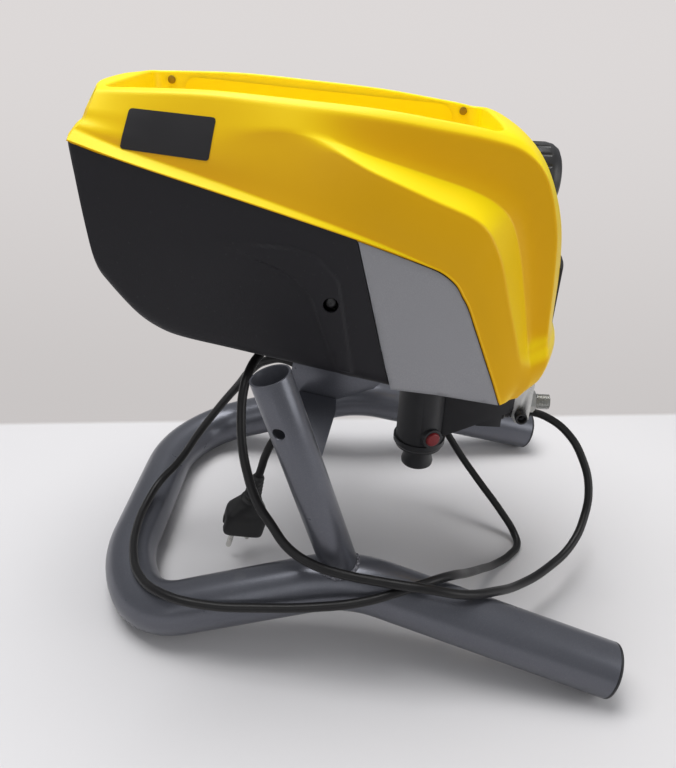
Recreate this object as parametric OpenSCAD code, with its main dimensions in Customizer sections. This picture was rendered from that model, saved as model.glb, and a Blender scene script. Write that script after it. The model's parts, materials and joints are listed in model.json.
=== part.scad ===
// Electric airless paint sprayer on a bent-tube skid.
// Millimetres. +X is the front (hose outlet), +Z is up, the floor is z = 0,
// and the origin is under the middle of the skid.

/* [Skid] */
// Overall length of the skid, rear bend to front end caps
skid_l = 418; // [400:1:440]
// Distance between the centres of the two front tube ends
front_spread = 336; // [320:1:356]
// Distance between the raised legs, where the support tubes stand
mid_spread = 280; // [270:1:290]
// Distance between the corner points of the rear bend
rear_spread = 170; // [160:1:180]
// Outside diameter of the skid tube
tube_d = 42; // [40:0.5:44]
// Wall of the skid tube
tube_wall = 1.5; // [1.2:0.1:2.5]
// Slope of the front legs down to the floor, degrees
leg_drop = 14.2; // [13.6:0.1:14.8]
// Slanting length of the front legs, up to the bend
leg_l = 209; // [204:1:214]
// Thickness of the end caps' visible rim
cap_rim = 3; // [2:0.5:5]

/* [Support] */
// Outside diameter of the two open support tubes
post_d = 28; // [27:0.5:30]
// Wall of the support tubes
post_wall = 2; // [1.5:0.1:3]
// Height of the support tubes' open ends
post_h = 242; // [236:1:244]
// Depth of the socket bored in each open end, which takes a 25 mm handle tube
socket_depth = 56; // [50:1:60]
// Diameter of the cross hole in each support tube
post_hole_d = 9; // [6:0.5:10]
// Distance of that hole from the open end
post_hole_in = 36; // [30:1:45]
// Thickness of the cradle and its gussets
plate_t = 3; // [2.5:0.5:4]
// Half width of the cradle, to the outside of its cheeks
cradle_half_w = 66; // [60:1:70]
// Length of the cradle along the body
cradle_l = 70; // [64:1:76]
// Depth of the cradle's cheeks
cheek_h = 33; // [28:1:36]
// Diameter of the cradle bolts
cradle_bolt_d = 8; // [6:1:8]

/* [Covers] */
// Half width of the covers at the seam
half_w = 92; // [90:1:96]
// Wall of the plastic covers
wall = 2.5; // [2:0.1:3.5]
// Height of the underside of the lower shell below the pump axis plane x = 0
under_h = 210.4; // [206:0.2:214]
// Slope of the underside, degrees
under_slope = 11.4; // [11:0.1:12]
// Gap along the seams between the covers
seam_gap = 0.6; // [0.3:0.1:1.2]
// Thickness of the silver side panels
panel_t = 3; // [2:0.5:4]
// Half width of the open tray in the top
tray_half_w = 60; // [50:1:61]
// Depth of the tray below its rim
tray_depth = 42; // [25:1:46]
// Corner radius of the tray
tray_r = 10; // [8:1:20]

/* [Motor] */
// Height of the motor and crank axis
axis_h = 287; // [285:0.5:289]
// Outside diameter of the motor can
can_d = 84; // [76:1:86]
// Wall of the motor can
can_wall = 3; // [2:0.5:4]
// Air gap between armature and field
air_gap = 0.8; // [0.5:0.1:1.5]
// Diameter of the armature
armature_d = 50; // [44:1:54]
// Diameter of the motor shaft
shaft_d = 10; // [8:0.5:10]
// Outside diameter of the motor bearings
motor_bearing_d = 24; // [22:1:28]

/* [Gears] */
// Distance between the motor axis and the countershaft
gear_centre = 36; // [36:36]
// Teeth of the motor pinion
pinion_teeth = 12; // [12:12]
// Teeth of the large countershaft gear
wheel_teeth = 60; // [60:60]
// Teeth of the small countershaft gear
small_teeth = 12; // [12:12]
// Teeth of the crank gear
crank_teeth = 48; // [48:48]
// Face width of the first gear pair
pair_1_w = 8; // [6:1:8]
// Face width of the second gear pair
pair_2_w = 12; // [8:1:12]
// Diameter of the crankshaft
crank_d = 15; // [12:1:15]
// Outside diameter of the crank bearings
crank_bearing_d = 32; // [28:1:34]

/* [Pump] */
// Distance of the pump axis in front of the origin
pump_x = 61; // [59:0.5:63]
// Crank throw, half the piston's stroke
throw = 5; // [3:0.5:5]
// Diameter of the piston
piston_d = 18; // [14:1:18]
// Outside diameter of the pump cylinder
cylinder_d = 32; // [30:1:34]
// Running clearance of piston and shafts, per side
run = 0.05; // [0.02:0.01:0.08]
// Diameter of the valve balls
ball_d = 9; // [7:0.5:9]
// Lift of the inlet valve ball
ball_lift = 2; // [1:0.5:2.5]
// Outside diameter of the black inlet housing
inlet_d = 42; // [41:0.5:44]
// Height of the inlet housing's lower face
inlet_h = 104; // [102:1:106]
// Diameter of the suction connector's mouth
flare_d = 28; // [24:1:30]
// Bore of the suction connector
suction_bore = 16; // [12:1:18]
// Height of the hose outlet's axis
outlet_h = 153; // [150:0.5:155]
// Outside diameter of the hose thread (a quarter-inch pipe thread)
hose_thread_d = 13.2; // [12:0.1:14]
// Length of the hose thread
hose_thread_l = 12; // [9:0.5:14]
// Bore of the hose outlet
hose_bore = 6; // [4:0.5:7]
// Diameter of the red inlet pusher button
pusher_d = 13; // [10:0.5:14]
// Travel of the pusher button
pusher_travel = 2.5; // [1.5:0.5:3]
// Direction of the pusher, degrees from the pump's right side towards the front
pusher_turn = 23; // [18:1:28]

/* [Controls] */
// Diameter of the pressure knob
knob_d = 50; // [44:1:52]
// Depth of the pressure knob
knob_l = 29; // [26:1:31]
// Height of the pressure knob's axis
knob_h = 342.5; // [340:0.5:345]
// Grip grooves around the knob
knob_grooves = 18; // [12:1:24]

/* [Mains lead] */
// Diameter of the mains lead
cord_d = 7; // [6:0.5:7.5]
// Diameter of the plug's pins
plug_pin_d = 4.8; // [4:0.8:4.8]
// Distance between the plug's pins
plug_pin_gap = 19; // [19:19]
// Length of the plug's pins
plug_pin_l = 19; // [17:1:19]

/* [Hidden] */
$fn = 48;
eps = 0.01;
fit_gap = 0.3;

// ---------- vectors ----------
function unit(v) = v / norm(v);
function lerp(a, b, t) = a + (b - a) * t;
function mirror_y(p) = [p.x, -p.y, p.z];
function reversed(v) = [for (i = [len(v) - 1:-1:0]) v[i]];
function square_to(a, v) = unit(v - a * (a * v));

// Frame whose z axis is a, whose x axis is as near to v as can be, placed at p
module aim(p, a, v = [0, 0, 1])
{
    z = unit(a);
    x = square_to(z, v);
    y = cross(z, x);
    multmatrix([[x.x, y.x, z.x, p.x], [x.y, y.y, z.y, p.y], [x.z, y.z, z.z, p.z], [0, 0, 0, 1]])
        children();
}

// Cylinder from p to q
module rod(p, q, r)
{
    aim(p, q - p, [0.3, 0.9, 0.2]) cylinder(h = norm(q - p), r = r);
}

module both_sides()
{
    children();
    mirror([0, 1, 0]) children();
}

// ---------- lofts ----------
// Closed surface through rings of equal length; the end rings mirror across y = 0
module loft(rings)
{
    n = len(rings[0]);
    m = len(rings);
    side = [for (i = [0:m - 2], j = [0:n - 1])
        let (k = (j + 1) % n)
        each [[i * n + j, (i + 1) * n + k, (i + 1) * n + j], [i * n + j, i * n + k, (i + 1) * n + k]]];
    first = [for (j = [0:ceil(n / 2) - 2]) each reversed_all(ladder(j, n, 0))];
    last = [for (j = [0:ceil(n / 2) - 2]) each ladder(j, n, (m - 1) * n)];
    polyhedron(points = [for (ring = rings) each ring], faces = concat(side, first, last));
}
function ladder(j, n, base) =
    let (a = base + j, b = base + j + 1, c = base + n - 2 - j, d = base + n - 1 - j)
    b == c ? [[a, b, d]] : [[a, b, c], [a, c, d]];
function reversed_all(faces) = [for (f = faces) reversed(f)];

// Catmull-Rom curve through a list of equal-length vectors
function spline(v, steps) =
    let (last = len(v) - 1)
    [for (i = [0:last - 1], s = [0:steps - 1])
        let (t = s / steps, a = v[max(i - 1, 0)], b = v[i], c = v[i + 1], d = v[min(i + 2, last)])
        b + (c - a) * (t / 2) + (2 * a - 5 * b + 4 * c - d) * (t * t / 2)
            + (3 * b - a - 3 * c + d) * (t * t * t / 2),
     v[last]];

// ---------- skid ----------
tube_r = tube_d / 2;
leg_splay = atan((front_spread - mid_spread) / 2 / (leg_l * cos(leg_drop)));
leg_dir = [cos(leg_drop) * cos(leg_splay), -cos(leg_drop) * sin(leg_splay), -sin(leg_drop)];
cap_face = [skid_l / 2 - tube_r * sqrt(1 - leg_dir.x * leg_dir.x), -front_spread / 2,
    tube_r * cos(leg_drop)];
tube_end = cap_face - cap_rim * leg_dir;
leg_bend = cap_face - leg_l * leg_dir;
floor_bend = [leg_bend.x - 156.5, -mid_spread / 2 - 1.4, tube_r];
rear_corner = [-skid_l / 2 + tube_r, -rear_spread / 2, tube_r];
half_route = [tube_end, leg_bend, floor_bend, rear_corner];
skid_route = concat(half_route, reversed([for (p = half_route) mirror_y(p)]));
bend_radii = [0, 99, 53, 113, 113, 53, 99, 0];

function dir(i) = unit(skid_route[i + 1] - skid_route[i]);
function turn(i) = acos(dir(i - 1) * dir(i));
function tangent(i) = bend_radii[i] == 0 ? 0 : bend_radii[i] * tan(turn(i) / 2);

// The straight length that starts at point i, and the bend at point i
module skid_length(i, r)
{
    start = skid_route[i] + dir(i) * tangent(i);
    end = skid_route[i + 1] - dir(i) * tangent(i + 1);
    // Straight lengths run a little into the bends, which are a hair slimmer
    run_in = 1;
    aim(start - dir(i) * (i == 0 ? 0 : run_in), dir(i), [0.2, 0.3, 1])
        cylinder(h = norm(end - start) + (i == 0 || i == len(skid_route) - 2 ? 1 : 2) * run_in, r = r);
}
module skid_bend(i, r)
{
    start = skid_route[i] - dir(i - 1) * tangent(i);
    inward = unit(dir(i) - dir(i - 1) * cos(turn(i)));
    centre = start + inward * bend_radii[i];
    aim(centre, cross(-inward, dir(i - 1)), -inward)
        rotate_extrude(angle = turn(i)) translate([bend_radii[i], 0]) circle(r = r - 0.02);
}
module ring(inner, outer)
{
    difference()
    {
        circle(r = outer);
        if (inner > 0) circle(r = inner);
    }
}
module skid_tube(r)
{
    for (i = [0:len(skid_route) - 2]) skid_length(i, r);
    for (i = [1:len(skid_route) - 2]) skid_bend(i, r);
}
module skid_frame() color("slategray") difference()
{
    skid_tube(tube_r);
    skid_tube(tube_r - tube_wall);
}

module end_caps() color("black") both_sides() aim(tube_end, leg_dir)
{
    cylinder(h = cap_rim, r = tube_r);
    translate([0, 0, -12]) difference()
    {
        cylinder(h = 12, r = tube_r - tube_wall - 0.1);
        translate([0, 0, -1]) cylinder(h = 12 - 1, r = tube_r - tube_wall - 2);
    }
}

// ---------- supports ----------
post_r = post_d / 2;
post_foot = [1.5, -mid_spread / 2, leg_bend.z - 4];
post_top = [-53.5, -mid_spread / 2 - 5, post_h];
post_dir = unit(post_top - post_foot);
hole_dir = square_to(post_dir, [-0.34, -0.94, 0]);
module support_tubes() color("slategray") both_sides() difference()
{
    rod(post_foot, post_top, post_r);
    rod(post_foot - post_dir, post_top + post_dir, post_r - post_wall);
    rod(post_top - post_dir * socket_depth, post_top + post_dir, post_r - post_wall + 0.5);
    rod(post_top - post_dir * post_hole_in - hole_dir * post_d,
        post_top - post_dir * post_hole_in + hole_dir * post_d, post_hole_d / 2);
    skid_tube(tube_r + 0.05);
}

// The underside's own frame: local x runs along it, local z is square to it
module on_underside() translate([0, 0, under_h]) rotate([0, under_slope, 0]) children();
function underside(x) = under_h - x * tan(under_slope);
cradle_rear = -46;
cradle_front = cradle_rear + cradle_l;
bolt_x = [cradle_rear + 12, cradle_front - 12];
bolt_y = 30;
web_gap = 0.9;
module cradle_plate() color("slategray") on_underside()
{
    difference()
    {
        translate([cradle_rear, -cradle_half_w, -plate_t - web_gap])
            cube([cradle_l, 2 * cradle_half_w, plate_t]);
        for (x = bolt_x, y = [-bolt_y, bolt_y]) translate([x, y, -plate_t - 1])
            cylinder(h = plate_t + 2, d = cradle_bolt_d + 0.4);
    }
    both_sides() translate([0, -cradle_half_w + plate_t, -web_gap]) rotate([90, 0, 0])
        linear_extrude(plate_t) polygon([[cradle_rear, 0], [cradle_rear, -cheek_h * 0.6],
            [cradle_rear + 8, -cheek_h - 2], [cradle_rear + 31, -cheek_h - 2],
            [cradle_front - 6, -cheek_h * 0.4], [cradle_front + 3, 0]]);
}
// Each gusset runs from a cheek's lower edge out and down to its support tube
module gusset_plates()
{
    cheek_low = [cradle_rear + 6, -cradle_half_w - 0.05, underside(cradle_rear + 6) - cheek_h];
    out = unit([0.05, -0.91, -0.4]);
    color("slategray") both_sides() difference()
    {
        aim(cheek_low, cross([1, 0, -0.2], out), [1, 0, -0.2]) translate([0, 0, -plate_t]) linear_extrude(plate_t)
            polygon([[-2, 0], [27, 0], [28, 12], [21, 80], [5, 80], [-2, 26]]);
        rod(post_foot, post_top, post_r + 0.05);
        skid_tube(tube_r + 0.05);
    }
}
module cradle_bolts() color("silver") on_underside()
    for (x = bolt_x, y = [-bolt_y, bolt_y]) translate([x, y, 0])
    {
        translate([0, 0, -plate_t - web_gap - 5.5]) cylinder(h = 5.5, r = cradle_bolt_d * 0.9, $fn = 6);
        translate([0, 0, -plate_t - web_gap - 0.1]) cylinder(h = 22, d = cradle_bolt_d);
    }

// ---------- top cover ----------
// Skeleton of the right half, rear to front and down to the chin. Each row is a band
// from the seam out to the rim: [seam x, z], [ridge foot x, z], [ridge crest x, z],
// [rim x, z], half widths at foot, crest, rim and seam, lip, valley, crown x, crown z.
cover_rows = [
    [[-189, 370.8], [-183, 379.5], [-181.5, 385], [-178, 393.5], 66, 63, 52, -14, 0.7, 0, -5, 5],
    [[-185, 369.6], [-177, 380.5], [-175.5, 385.5], [-172.5, 396], 78, 75, 66, 0, 0.7, 0, 0, 3],
    [[-150, 358.3], [-150, 377], [-150, 383], [-150, 396.5], 79, 76, 68, 0, 0.55, 0, 0, 3.2],
    [[-100, 344], [-100, 370], [-100, 377], [-100, 396.3], 80, 77, 68, 0, 0.48, 0, 0, 4.2],
    [[-42, 327.4], [-42, 375.5], [-42, 378.5], [-42, 391.3], 77, 75.5, 68, 0, 0.3, 0, 0, 7.2],
    [[6.5, 313.1], [6.5, 358], [6.5, 364.2], [6.5, 386.5], 88, 73, 68, 0, 0.15, 1, 0, 9.5],
    [[43.5, 300.8], [43.5, 343.7], [43.5, 353.6], [43.5, 381.3], 90, 70.5, 68, 0, 0, 2, 0, 10.8],
    [[55, 296], [69, 334], [71.8, 345.2], [78, 376.6], 91, 70, 68, 0, 0, 2.5, 3, 10],
    [[64.5, 288.5], [80, 325.5], [89.5, 336.3], [101, 370.5], 91, 70, 68, 0, 0, 3, 5, 7.5],
    [[70, 280], [87, 315], [99.6, 325.3], [118, 355], 90, 70, 68, 0, 0, 3, 9, 2],
    [[74.3, 273], [93.5, 301], [107.6, 304.5], [129.5, 323], 90, 70, 68, 0, 0, 3, 14, 0],
    [[80, 260], [101, 278], [115, 275.5], [134, 288], 89, 70.5, 68, 0, 0, 2.5, 16.5, 0],
    [[88, 241.5], [110.5, 250], [121.3, 246.5], [136.3, 253], 88, 72, 69, 0, 0, 2, 15.5, 0],
    [[92.5, 231], [114, 238], [123.2, 235.2], [136.8, 241], 87, 77, 73, 0, 0, 0.5, 15.5, 0],
    [[96, 223], [117, 227], [125, 226], [137.5, 230], 86.5, 82.5, 79, 0, 0, 0, 19, 0],
    [[101, 211], [118, 213], [126, 213], [134, 214], 86, 83.5, 78, 0, 0, 0, 19, 0],
    [[105.5, 199.5], [114, 200], [120, 200.5], [126, 203], 84, 82, 75, 0, 0, 0, 14, 0]];

flat_rows = [for (r = cover_rows) concat(r[0], r[1], r[2], r[3], [for (k = [4:11]) r[k]])];

// One ring of the cover from a row; inset moves it inwards, and open moves the seam out
function cover_ring(row, inset, open, shift) =
    let (seam = [row[0], row[1]], foot = [row[2], row[3]], crest = [row[4], row[5]],
        rim = [row[6], row[7]], seam_y = half_w + row[11], e = unit(rim - seam),
        s = seam - e * open, r = rim - e * inset, yr = row[10] - inset,
        lip = s + e * (1.5 + 7 * row[12] + open), lip_y = seam_y - 0.6 - 7.4 * min(1, 1.8 * row[12]),
        valley = (crest + rim) / 2, valley_y = (row[9] + row[10]) / 2 - row[13],
        panel = (lip + foot) / 2, panel_y = (lip_y + row[8]) / 2 + 1,
        near = [[s, seam_y], [s + e * (0.8 + 0.8 * open), seam_y], [lip, lip_y], [panel, panel_y],
            [foot - e * inset * 0.5, row[8]], [crest - e * inset * 0.7, row[9]],
            [valley - e * inset * 0.9, valley_y]],
        half = concat([for (p = near) [p[0].x, inset - p[1], p[0].y]],
            [for (t = [1, 0.97, 0.88, 0.6, 0.3])
                [r.x + row[14] * (1 - t * t), -yr * t, r.y + row[15] * (1 - pow(t, 12))]]),
        middle = [r.x + row[14], 0, r.y + row[15]],
        all = concat(half, [middle], reversed([for (p = half) mirror_y(p)])))
    [for (p = all) p + shift];

module cover_body(inset, open, steps)
{
    rows = spline(flat_rows, steps);
    last = len(rows) - 1;
    loft([for (i = [0:last]) cover_ring(rows[i], inset, open,
        [i == 0 ? inset : 0, 0, i == last ? inset : 0])]);
}

// The inner space's lowest ring is lifted by the wall, so the chin has a floor
tray_rear = -170;
tray_front = 88;
tray_floor = 392 - tray_depth;
module tray_plan(grow)
{
    translate([tray_rear - grow, -tray_half_w - grow])
        rounded_rect(tray_front - tray_rear + 2 * grow, 2 * (tray_half_w + grow), tray_r + grow);
}
module rounded_rect(l, w, r)
{
    translate([r, 0]) square([l - 2 * r, w]);
    translate([0, r]) square([l, w - 2 * r]);
    for (x = [r, l - r], y = [r, w - r]) translate([x, y]) circle(r = r, $fn = 32);
}
knob_face = 140;
knob_back = knob_face - knob_l;
plate_arc_r = 140;
plate_half_w = 43.6;
plate_low = 232;
plate_high = 288;
plate_front = 152.2;
module plate_plan(grow, back)
{
    intersection()
    {
        translate([plate_front + 3 - plate_arc_r, 0]) ring(plate_arc_r - back - 3, plate_arc_r);
        translate([plate_front - 30, -plate_half_w - grow]) square([60, 2 * (plate_half_w + grow)]);
    }
}
// One moulding: the skin, the tray tub, the knob pocket and the front plate's recess
module top_cover() color("gold") resize([0, 0, 0]) difference()
{
    union()
    {
        difference()
        {
            cover_body(0, 0, 2);
            cover_hollow();
        }
        translate([0, 0, tray_floor - wall]) linear_extrude(20) tray_plan(wall);
    }
    translate([0, 0, tray_floor]) linear_extrude(60) tray_plan(0);
    translate([knob_back - 1, 0, knob_h]) rotate([0, 90, 0]) cylinder(h = 60, d = knob_d + 2);
    translate([knob_back - 20, 0, knob_h]) rotate([0, 90, 0]) cylinder(h = 60, d = 12);
    translate([0, 0, plate_low]) linear_extrude(plate_high - plate_low) plate_plan(0, 5);
    tray_screw_places() translate([0, 0, -6]) cylinder(h = 12, d = 3.4, $fn = 16);
    name_plate_place() linear_extrude(9) name_plate_outline(0.3);
}
module cover_hollow() difference()
{
    cover_body(wall, 3, 2);
    translate([0, 0, tray_floor - wall]) linear_extrude(60) tray_plan(wall);
    translate([knob_back - wall - 1, 0, knob_h]) rotate([0, 90, 0])
        cylinder(h = 60, d = knob_d + 2 + 2 * wall);
    translate([0, 0, plate_low - wall]) linear_extrude(plate_high - plate_low + 2 * wall)
        plate_plan(wall, 5 + wall);
    name_plate_place() translate([0, 0, -wall]) linear_extrude(9) name_plate_outline(2);
}

// Two screws through each long wall of the tray
module tray_screw_places()
    for (place = [[tray_rear + tray_r + 3.6, 42], [tray_front - tray_r - 3.6, 28.5]], side = [-1, 1])
        translate([place.x, side * tray_half_w, tray_floor + place.y]) rotate([side * 90, 0, 0]) children();
module tray_screws() color("dimgray") tray_screw_places()
{
    cylinder(h = 1.6, d = 6);
    translate([0, 0, -5.5]) cylinder(h = 6.5, d = 3);
}

module front_plate() color("dimgray") translate([0, 0, plate_low + 0.3])
    linear_extrude(plate_high - plate_low - 0.6) intersection()
    {
        translate([plate_front + 0.6 - plate_arc_r, 0]) ring(plate_arc_r - 5.2, plate_arc_r);
        translate([plate_front - 30, -plate_half_w + 0.3]) square([40, 2 * (plate_half_w - 0.3)]);
    }

// ---------- lower shells ----------
// [x, height of the underside, half width] from the rear edge to the front edge
shell_rows = [[-186.5, 362, 86], [-184.5, 336, 88], [-181.5, 305, 89.3], [-178.5, 285, 89.7],
    [-172, 273.5, 90], [-155.5, 253, 90], [-141, 242, 90], [-124.5, 235.6, 90]];
shell_bottom_front = 28;
function seam_z(x) = 316.4 - (x + 3.3) * (x < -3.3 ? 0.2854 : 0.335)
    + (x < -165 ? pow(-165 - x, 2) * 0.0035 : 0);

function shell_ring(x, low, w, inset, open, shift) =
    let (top = seam_z(x) + open, y = w + half_w - 92 - inset, z = low + inset, h = top - z,
        r = min(14, h * 0.45),
        half = [[x, -y - 1, top], [x, -y, z + r], [x, -y + r * 0.13, z + r * 0.5],
            [x, -y + r * 0.5, z + r * 0.13], [x, -y + r, z]])
    [for (p = reversed(concat(half, reversed([for (q = half) mirror_y(q)])))) p + shift];

module shell_body(inset, open)
{
    front_rows = [for (x = [-89, -40, 40]) [x, underside(x), 90]];
    rows = concat(shell_rows, front_rows);
    loft([for (i = [0:len(rows) - 1]) shell_ring(rows[i][0], rows[i][1], rows[i][2], inset, open,
        [i == 0 ? inset : (i == len(rows) - 1 ? open : 0), 0, 0])]);
}
// Side outline of the black shells in front, along the silver panels
panel_edge = [[-4, 321], [29, 195]];
edge_dir = unit(panel_edge[1] - panel_edge[0]);
module ahead_of_edge(gap) rotate([90, 0, 0]) translate([0, 0, -150]) linear_extrude(300)
    polygon([panel_edge[0] + [gap, 0] - 8 * edge_dir, [200, 340], [200, 180],
        panel_edge[1] + [gap, 0] + 18 * edge_dir]);

screw_x = -18.8;
screw_z = 270;
module shell_screw_places() translate([screw_x, 0, screw_z]) children();
module shell(side) color([0.13, 0.13, 0.15]) intersection()
{
    difference()
    {
        translate([0, 0, -seam_gap]) shell_body(0, 0);
        translate([0, 0, -seam_gap]) shell_body(wall, 3);
        ahead_of_edge(-seam_gap);
        on_underside() for (x = bolt_x, y = [-bolt_y, bolt_y]) translate([x, y, -5])
            cylinder(h = 12, d = cradle_bolt_d + 1, $fn = 24);
        shell_screw_places() rotate([side * -90, 0, 0]) translate([0, 0, 84])
            cylinder(h = 12, d = 9, $fn = 24);
    }
    translate([-250, side > 0 ? 0.1 : -150, 150]) cube([350, 149.9, 250]);
}
module right_shell() shell(-1);
module left_shell() shell(1);
module shell_screws() color("dimgray") for (side = [-1, 1]) shell_screw_places()
    rotate([side * -90, 0, 0])
    {
        translate([0, 0, 86]) cylinder(h = 2.5, d = 8);
        translate([0, 0, 76]) cylinder(h = 10.2, d = 4);
    }

// ---------- silver side panels, name plates, belly ----------
module side_panel() translate([0, -half_w + 1, 0]) rotate([90, 0, 0])
    translate([0, 0, -panel_t]) linear_extrude(panel_t)
    polygon([[-2, 315.2], [43.5, 299.8], [53, 295.5], [60, 291], [65.5, 285],
        [70.5, 277.5], [74, 270], [91, 231], [95, 221.5], [100, 209], [103.6, 199.6],
        [99, 199.4], [58, 204.5], [26.4, 206.8]]);
module right_side_panel() color("silver") side_panel();
module left_side_panel() color("silver") mirror([0, 1, 0]) side_panel();

// A blank plate in a shallow seat on each side of the top cover, near the rear
plate_seat = [-125, -78.3, 373.9];
module name_plate_outline(grow)
    polygon([[-30 - grow, -10.1 - grow], [-24.2 - grow, 15 + grow], [30 + grow, 10.8 + grow],
        [25.4 + grow, -15.6 - grow]]);
module name_plate_place() both_sides() translate(plate_seat) rotate([0, 0, 2.5])
    rotate([65.5, 0, 0]) children();
module name_plates() color([0.1, 0.1, 0.1]) name_plate_place() linear_extrude(1.3)
    name_plate_outline(0);

belly_top = 209;
chin_low = 198.8;
module belly_cover() color([0.1, 0.1, 0.11]) difference()
{
    union()
    {
        difference()
        {
            translate([29.6, -87, belly_top - wall]) cube([70.4, 174, wall]);
            translate([pump_x, 0, 180]) cylinder(h = 60, d = inlet_d + 1);
        }
        // Shroud around the outlet pipe
        rotate([90, 0, 0]) translate([0, 0, -12]) linear_extrude(24)
            polygon([[pump_x + 17, 118], [133, 146], [137, 150], [137, chin_low], [100, chin_low],
                [96, belly_top - eps], [pump_x + 17, belly_top - eps]]);
        // Boss that holds the cord gland
        translate([112, 11, 118]) cube([22, 20, chin_low - 118]);
    }
    rotate([90, 0, 0]) translate([0, 0, -10]) linear_extrude(20)
        polygon([[pump_x + 15, 120.5], [132.5, 149], [134.8, 152], [134.8, chin_low - 2.5],
            [98, chin_low - 2.5], [94, belly_top + 1], [pump_x + 15, belly_top + 1]]);
    translate([pump_x, 0, 100]) cylinder(h = 120, d = inlet_d + 1);
    translate([100, 0, outlet_h]) rotate([0, 90, 0]) cylinder(h = 60, d = 13);
    translate([90, 21, 130]) rotate([0, 90, 0]) cylinder(h = 60, d = 12);
    translate([114, 13, 150]) cube([18, 16, chin_low - 152.5]);
}

// ---------- motor ----------
can_rear = -128;
can_front = -40;
can_r = can_d / 2;
shaft_r = shaft_d / 2;
module motor_axis(x) translate([x, 0, axis_h]) rotate([0, 90, 0]) children();
module washer(h, outer, inner) difference()
{
    cylinder(h = h, r = outer);
    translate([0, 0, -1]) cylinder(h = h + 2, r = inner);
}
module motor_can() color("gray") motor_axis(can_rear)
    washer(can_front - can_rear, can_r, can_r - can_wall);
module bell(x, h, seat_x)
{
    motor_axis(x) difference()
    {
        cylinder(h = h, r = can_r - 2);
        translate([0, 0, -1]) cylinder(h = h + 2, r = shaft_r + 2);
        translate([0, 0, seat_x]) cylinder(h = 9.2, d = motor_bearing_d + 0.02);
        for (a = [30:60:330]) rotate(a) translate([can_r * 0.63, 0, -1]) cylinder(h = h + 2, r = 6);
    }
}
module motor_front_bell() color("lightgray") bell(can_front, 11.9, 1);
module motor_rear_bell() color("lightgray") bell(can_rear - 12, 12, 2);
core_rear = -98;
core_front = -60;
module field_core() color("darkgray") motor_axis(core_rear) difference()
{
    cylinder(h = core_front - core_rear, r = can_r - can_wall);
    translate([0, 0, -1]) cylinder(h = core_front - core_rear + 2, r = armature_d / 2 + air_gap);
}
module armature() color("peru") motor_axis(core_rear) difference()
{
    cylinder(h = core_front - core_rear, d = armature_d);
    translate([0, 0, -1]) cylinder(h = core_front - core_rear + 2, r = shaft_r);
    for (a = [0:30:330]) rotate(a) translate([armature_d / 2 - 4, -1.5, -1])
        cube([6, 3, core_front - core_rear + 2]);
}
module commutator() color("orange") motor_axis(-118) washer(16, 13, shaft_r);
module brush_holders() color("saddlebrown") for (side = [-1, 1])
    translate([-110, side * 13.2, axis_h]) rotate([side * -90, 0, 0])
    {
        translate([-4, -3, 0]) cube([8, 6, 16]);
        translate([0, 0, 15]) cylinder(h = can_r - can_wall - 13.2 - 15 - 0.6, r = 5.5);
    }
module cooling_fan() color("dimgray") motor_axis(-56)
{
    washer(8, 11, shaft_r);
    difference()
    {
        cylinder(h = 1.6, r = can_r - can_wall - 3);
        translate([0, 0, -1]) cylinder(h = 4, r = 10);
    }
    for (a = [0:40:320]) rotate(a) translate([10, -0.8, 0]) cube([can_r - can_wall - 14, 1.6, 10]);
}
shaft_front = -15;
module motor_shaft() color("lightgray") motor_axis(-139)
{
    cylinder(h = pair_1_x - 0.5 + 139, r = shaft_r);
    cylinder(h = shaft_front + 139, r = nose_r);
}
module motor_bearings() color("silver") for (x = [can_front + 1.1, can_rear - 9.9])
    motor_axis(x) washer(9, motor_bearing_d / 2, shaft_r + run);

// ---------- gears ----------
counter_y = gear_centre;
pair_1_x = -26;
pair_2_x = -13.4;
module_1 = 2 * gear_centre / (pinion_teeth + wheel_teeth);
module_2 = 2 * gear_centre / (small_teeth + crank_teeth);
// Spur gear with straight-sided teeth and a little backlash
module gear(teeth, m, h, bore_r, turned)
{
    pitch_r = teeth * m / 2;
    root_r = pitch_r - 1.2 * m;
    tip_r = pitch_r + 0.85 * m;
    half = 360 / teeth / 4;
    difference()
    {
        linear_extrude(h) polygon([for (i = [0:teeth - 1])
            let (a = 360 * i / teeth + turned)
            each [root_r * [cos(a - half * 1.5), sin(a - half * 1.5)],
                pitch_r * [cos(a - half * 0.86), sin(a - half * 0.86)],
                tip_r * [cos(a - half * 0.4), sin(a - half * 0.4)],
                tip_r * [cos(a + half * 0.4), sin(a + half * 0.4)],
                pitch_r * [cos(a + half * 0.86), sin(a + half * 0.86)],
                root_r * [cos(a + half * 1.5), sin(a + half * 1.5)]]]);
        translate([0, 0, -1]) cylinder(h = h + 2, r = bore_r);
    }
}
module gear_axis(x, y) translate([x, y, axis_h]) rotate([0, 90, 0]) children();
// Seen along +X, local x is down and local y is the left side (+Y)
nose_r = shaft_r - 2;
module motor_pinion() color("silver") gear_axis(pair_1_x, 0)
    gear(pinion_teeth, module_1, pair_1_w + 1, nose_r, 90);
module countershaft_gear() color("silver")
{
    gear_axis(pair_1_x, counter_y) gear(wheel_teeth, module_1, pair_1_w, 4 + run, 90 + 3);
    gear_axis(pair_1_x + pair_1_w - eps, counter_y)
        washer(pair_2_x - pair_1_x - pair_1_w + 2 * eps, 5.5, 4 + run);
    gear_axis(pair_2_x, counter_y) gear(small_teeth, module_2, pair_2_w + 0.2, 4 + run, 90);
}
module countershaft_pin() color("lightgray") gear_axis(can_front + 12.2, counter_y)
    cylinder(h = 48, r = 4);
module crank_gear() color("silver") gear_axis(pair_2_x, 0)
    gear(crank_teeth, module_2, pair_2_w, crank_d / 2, 90 + 180 / crank_teeth);

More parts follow.
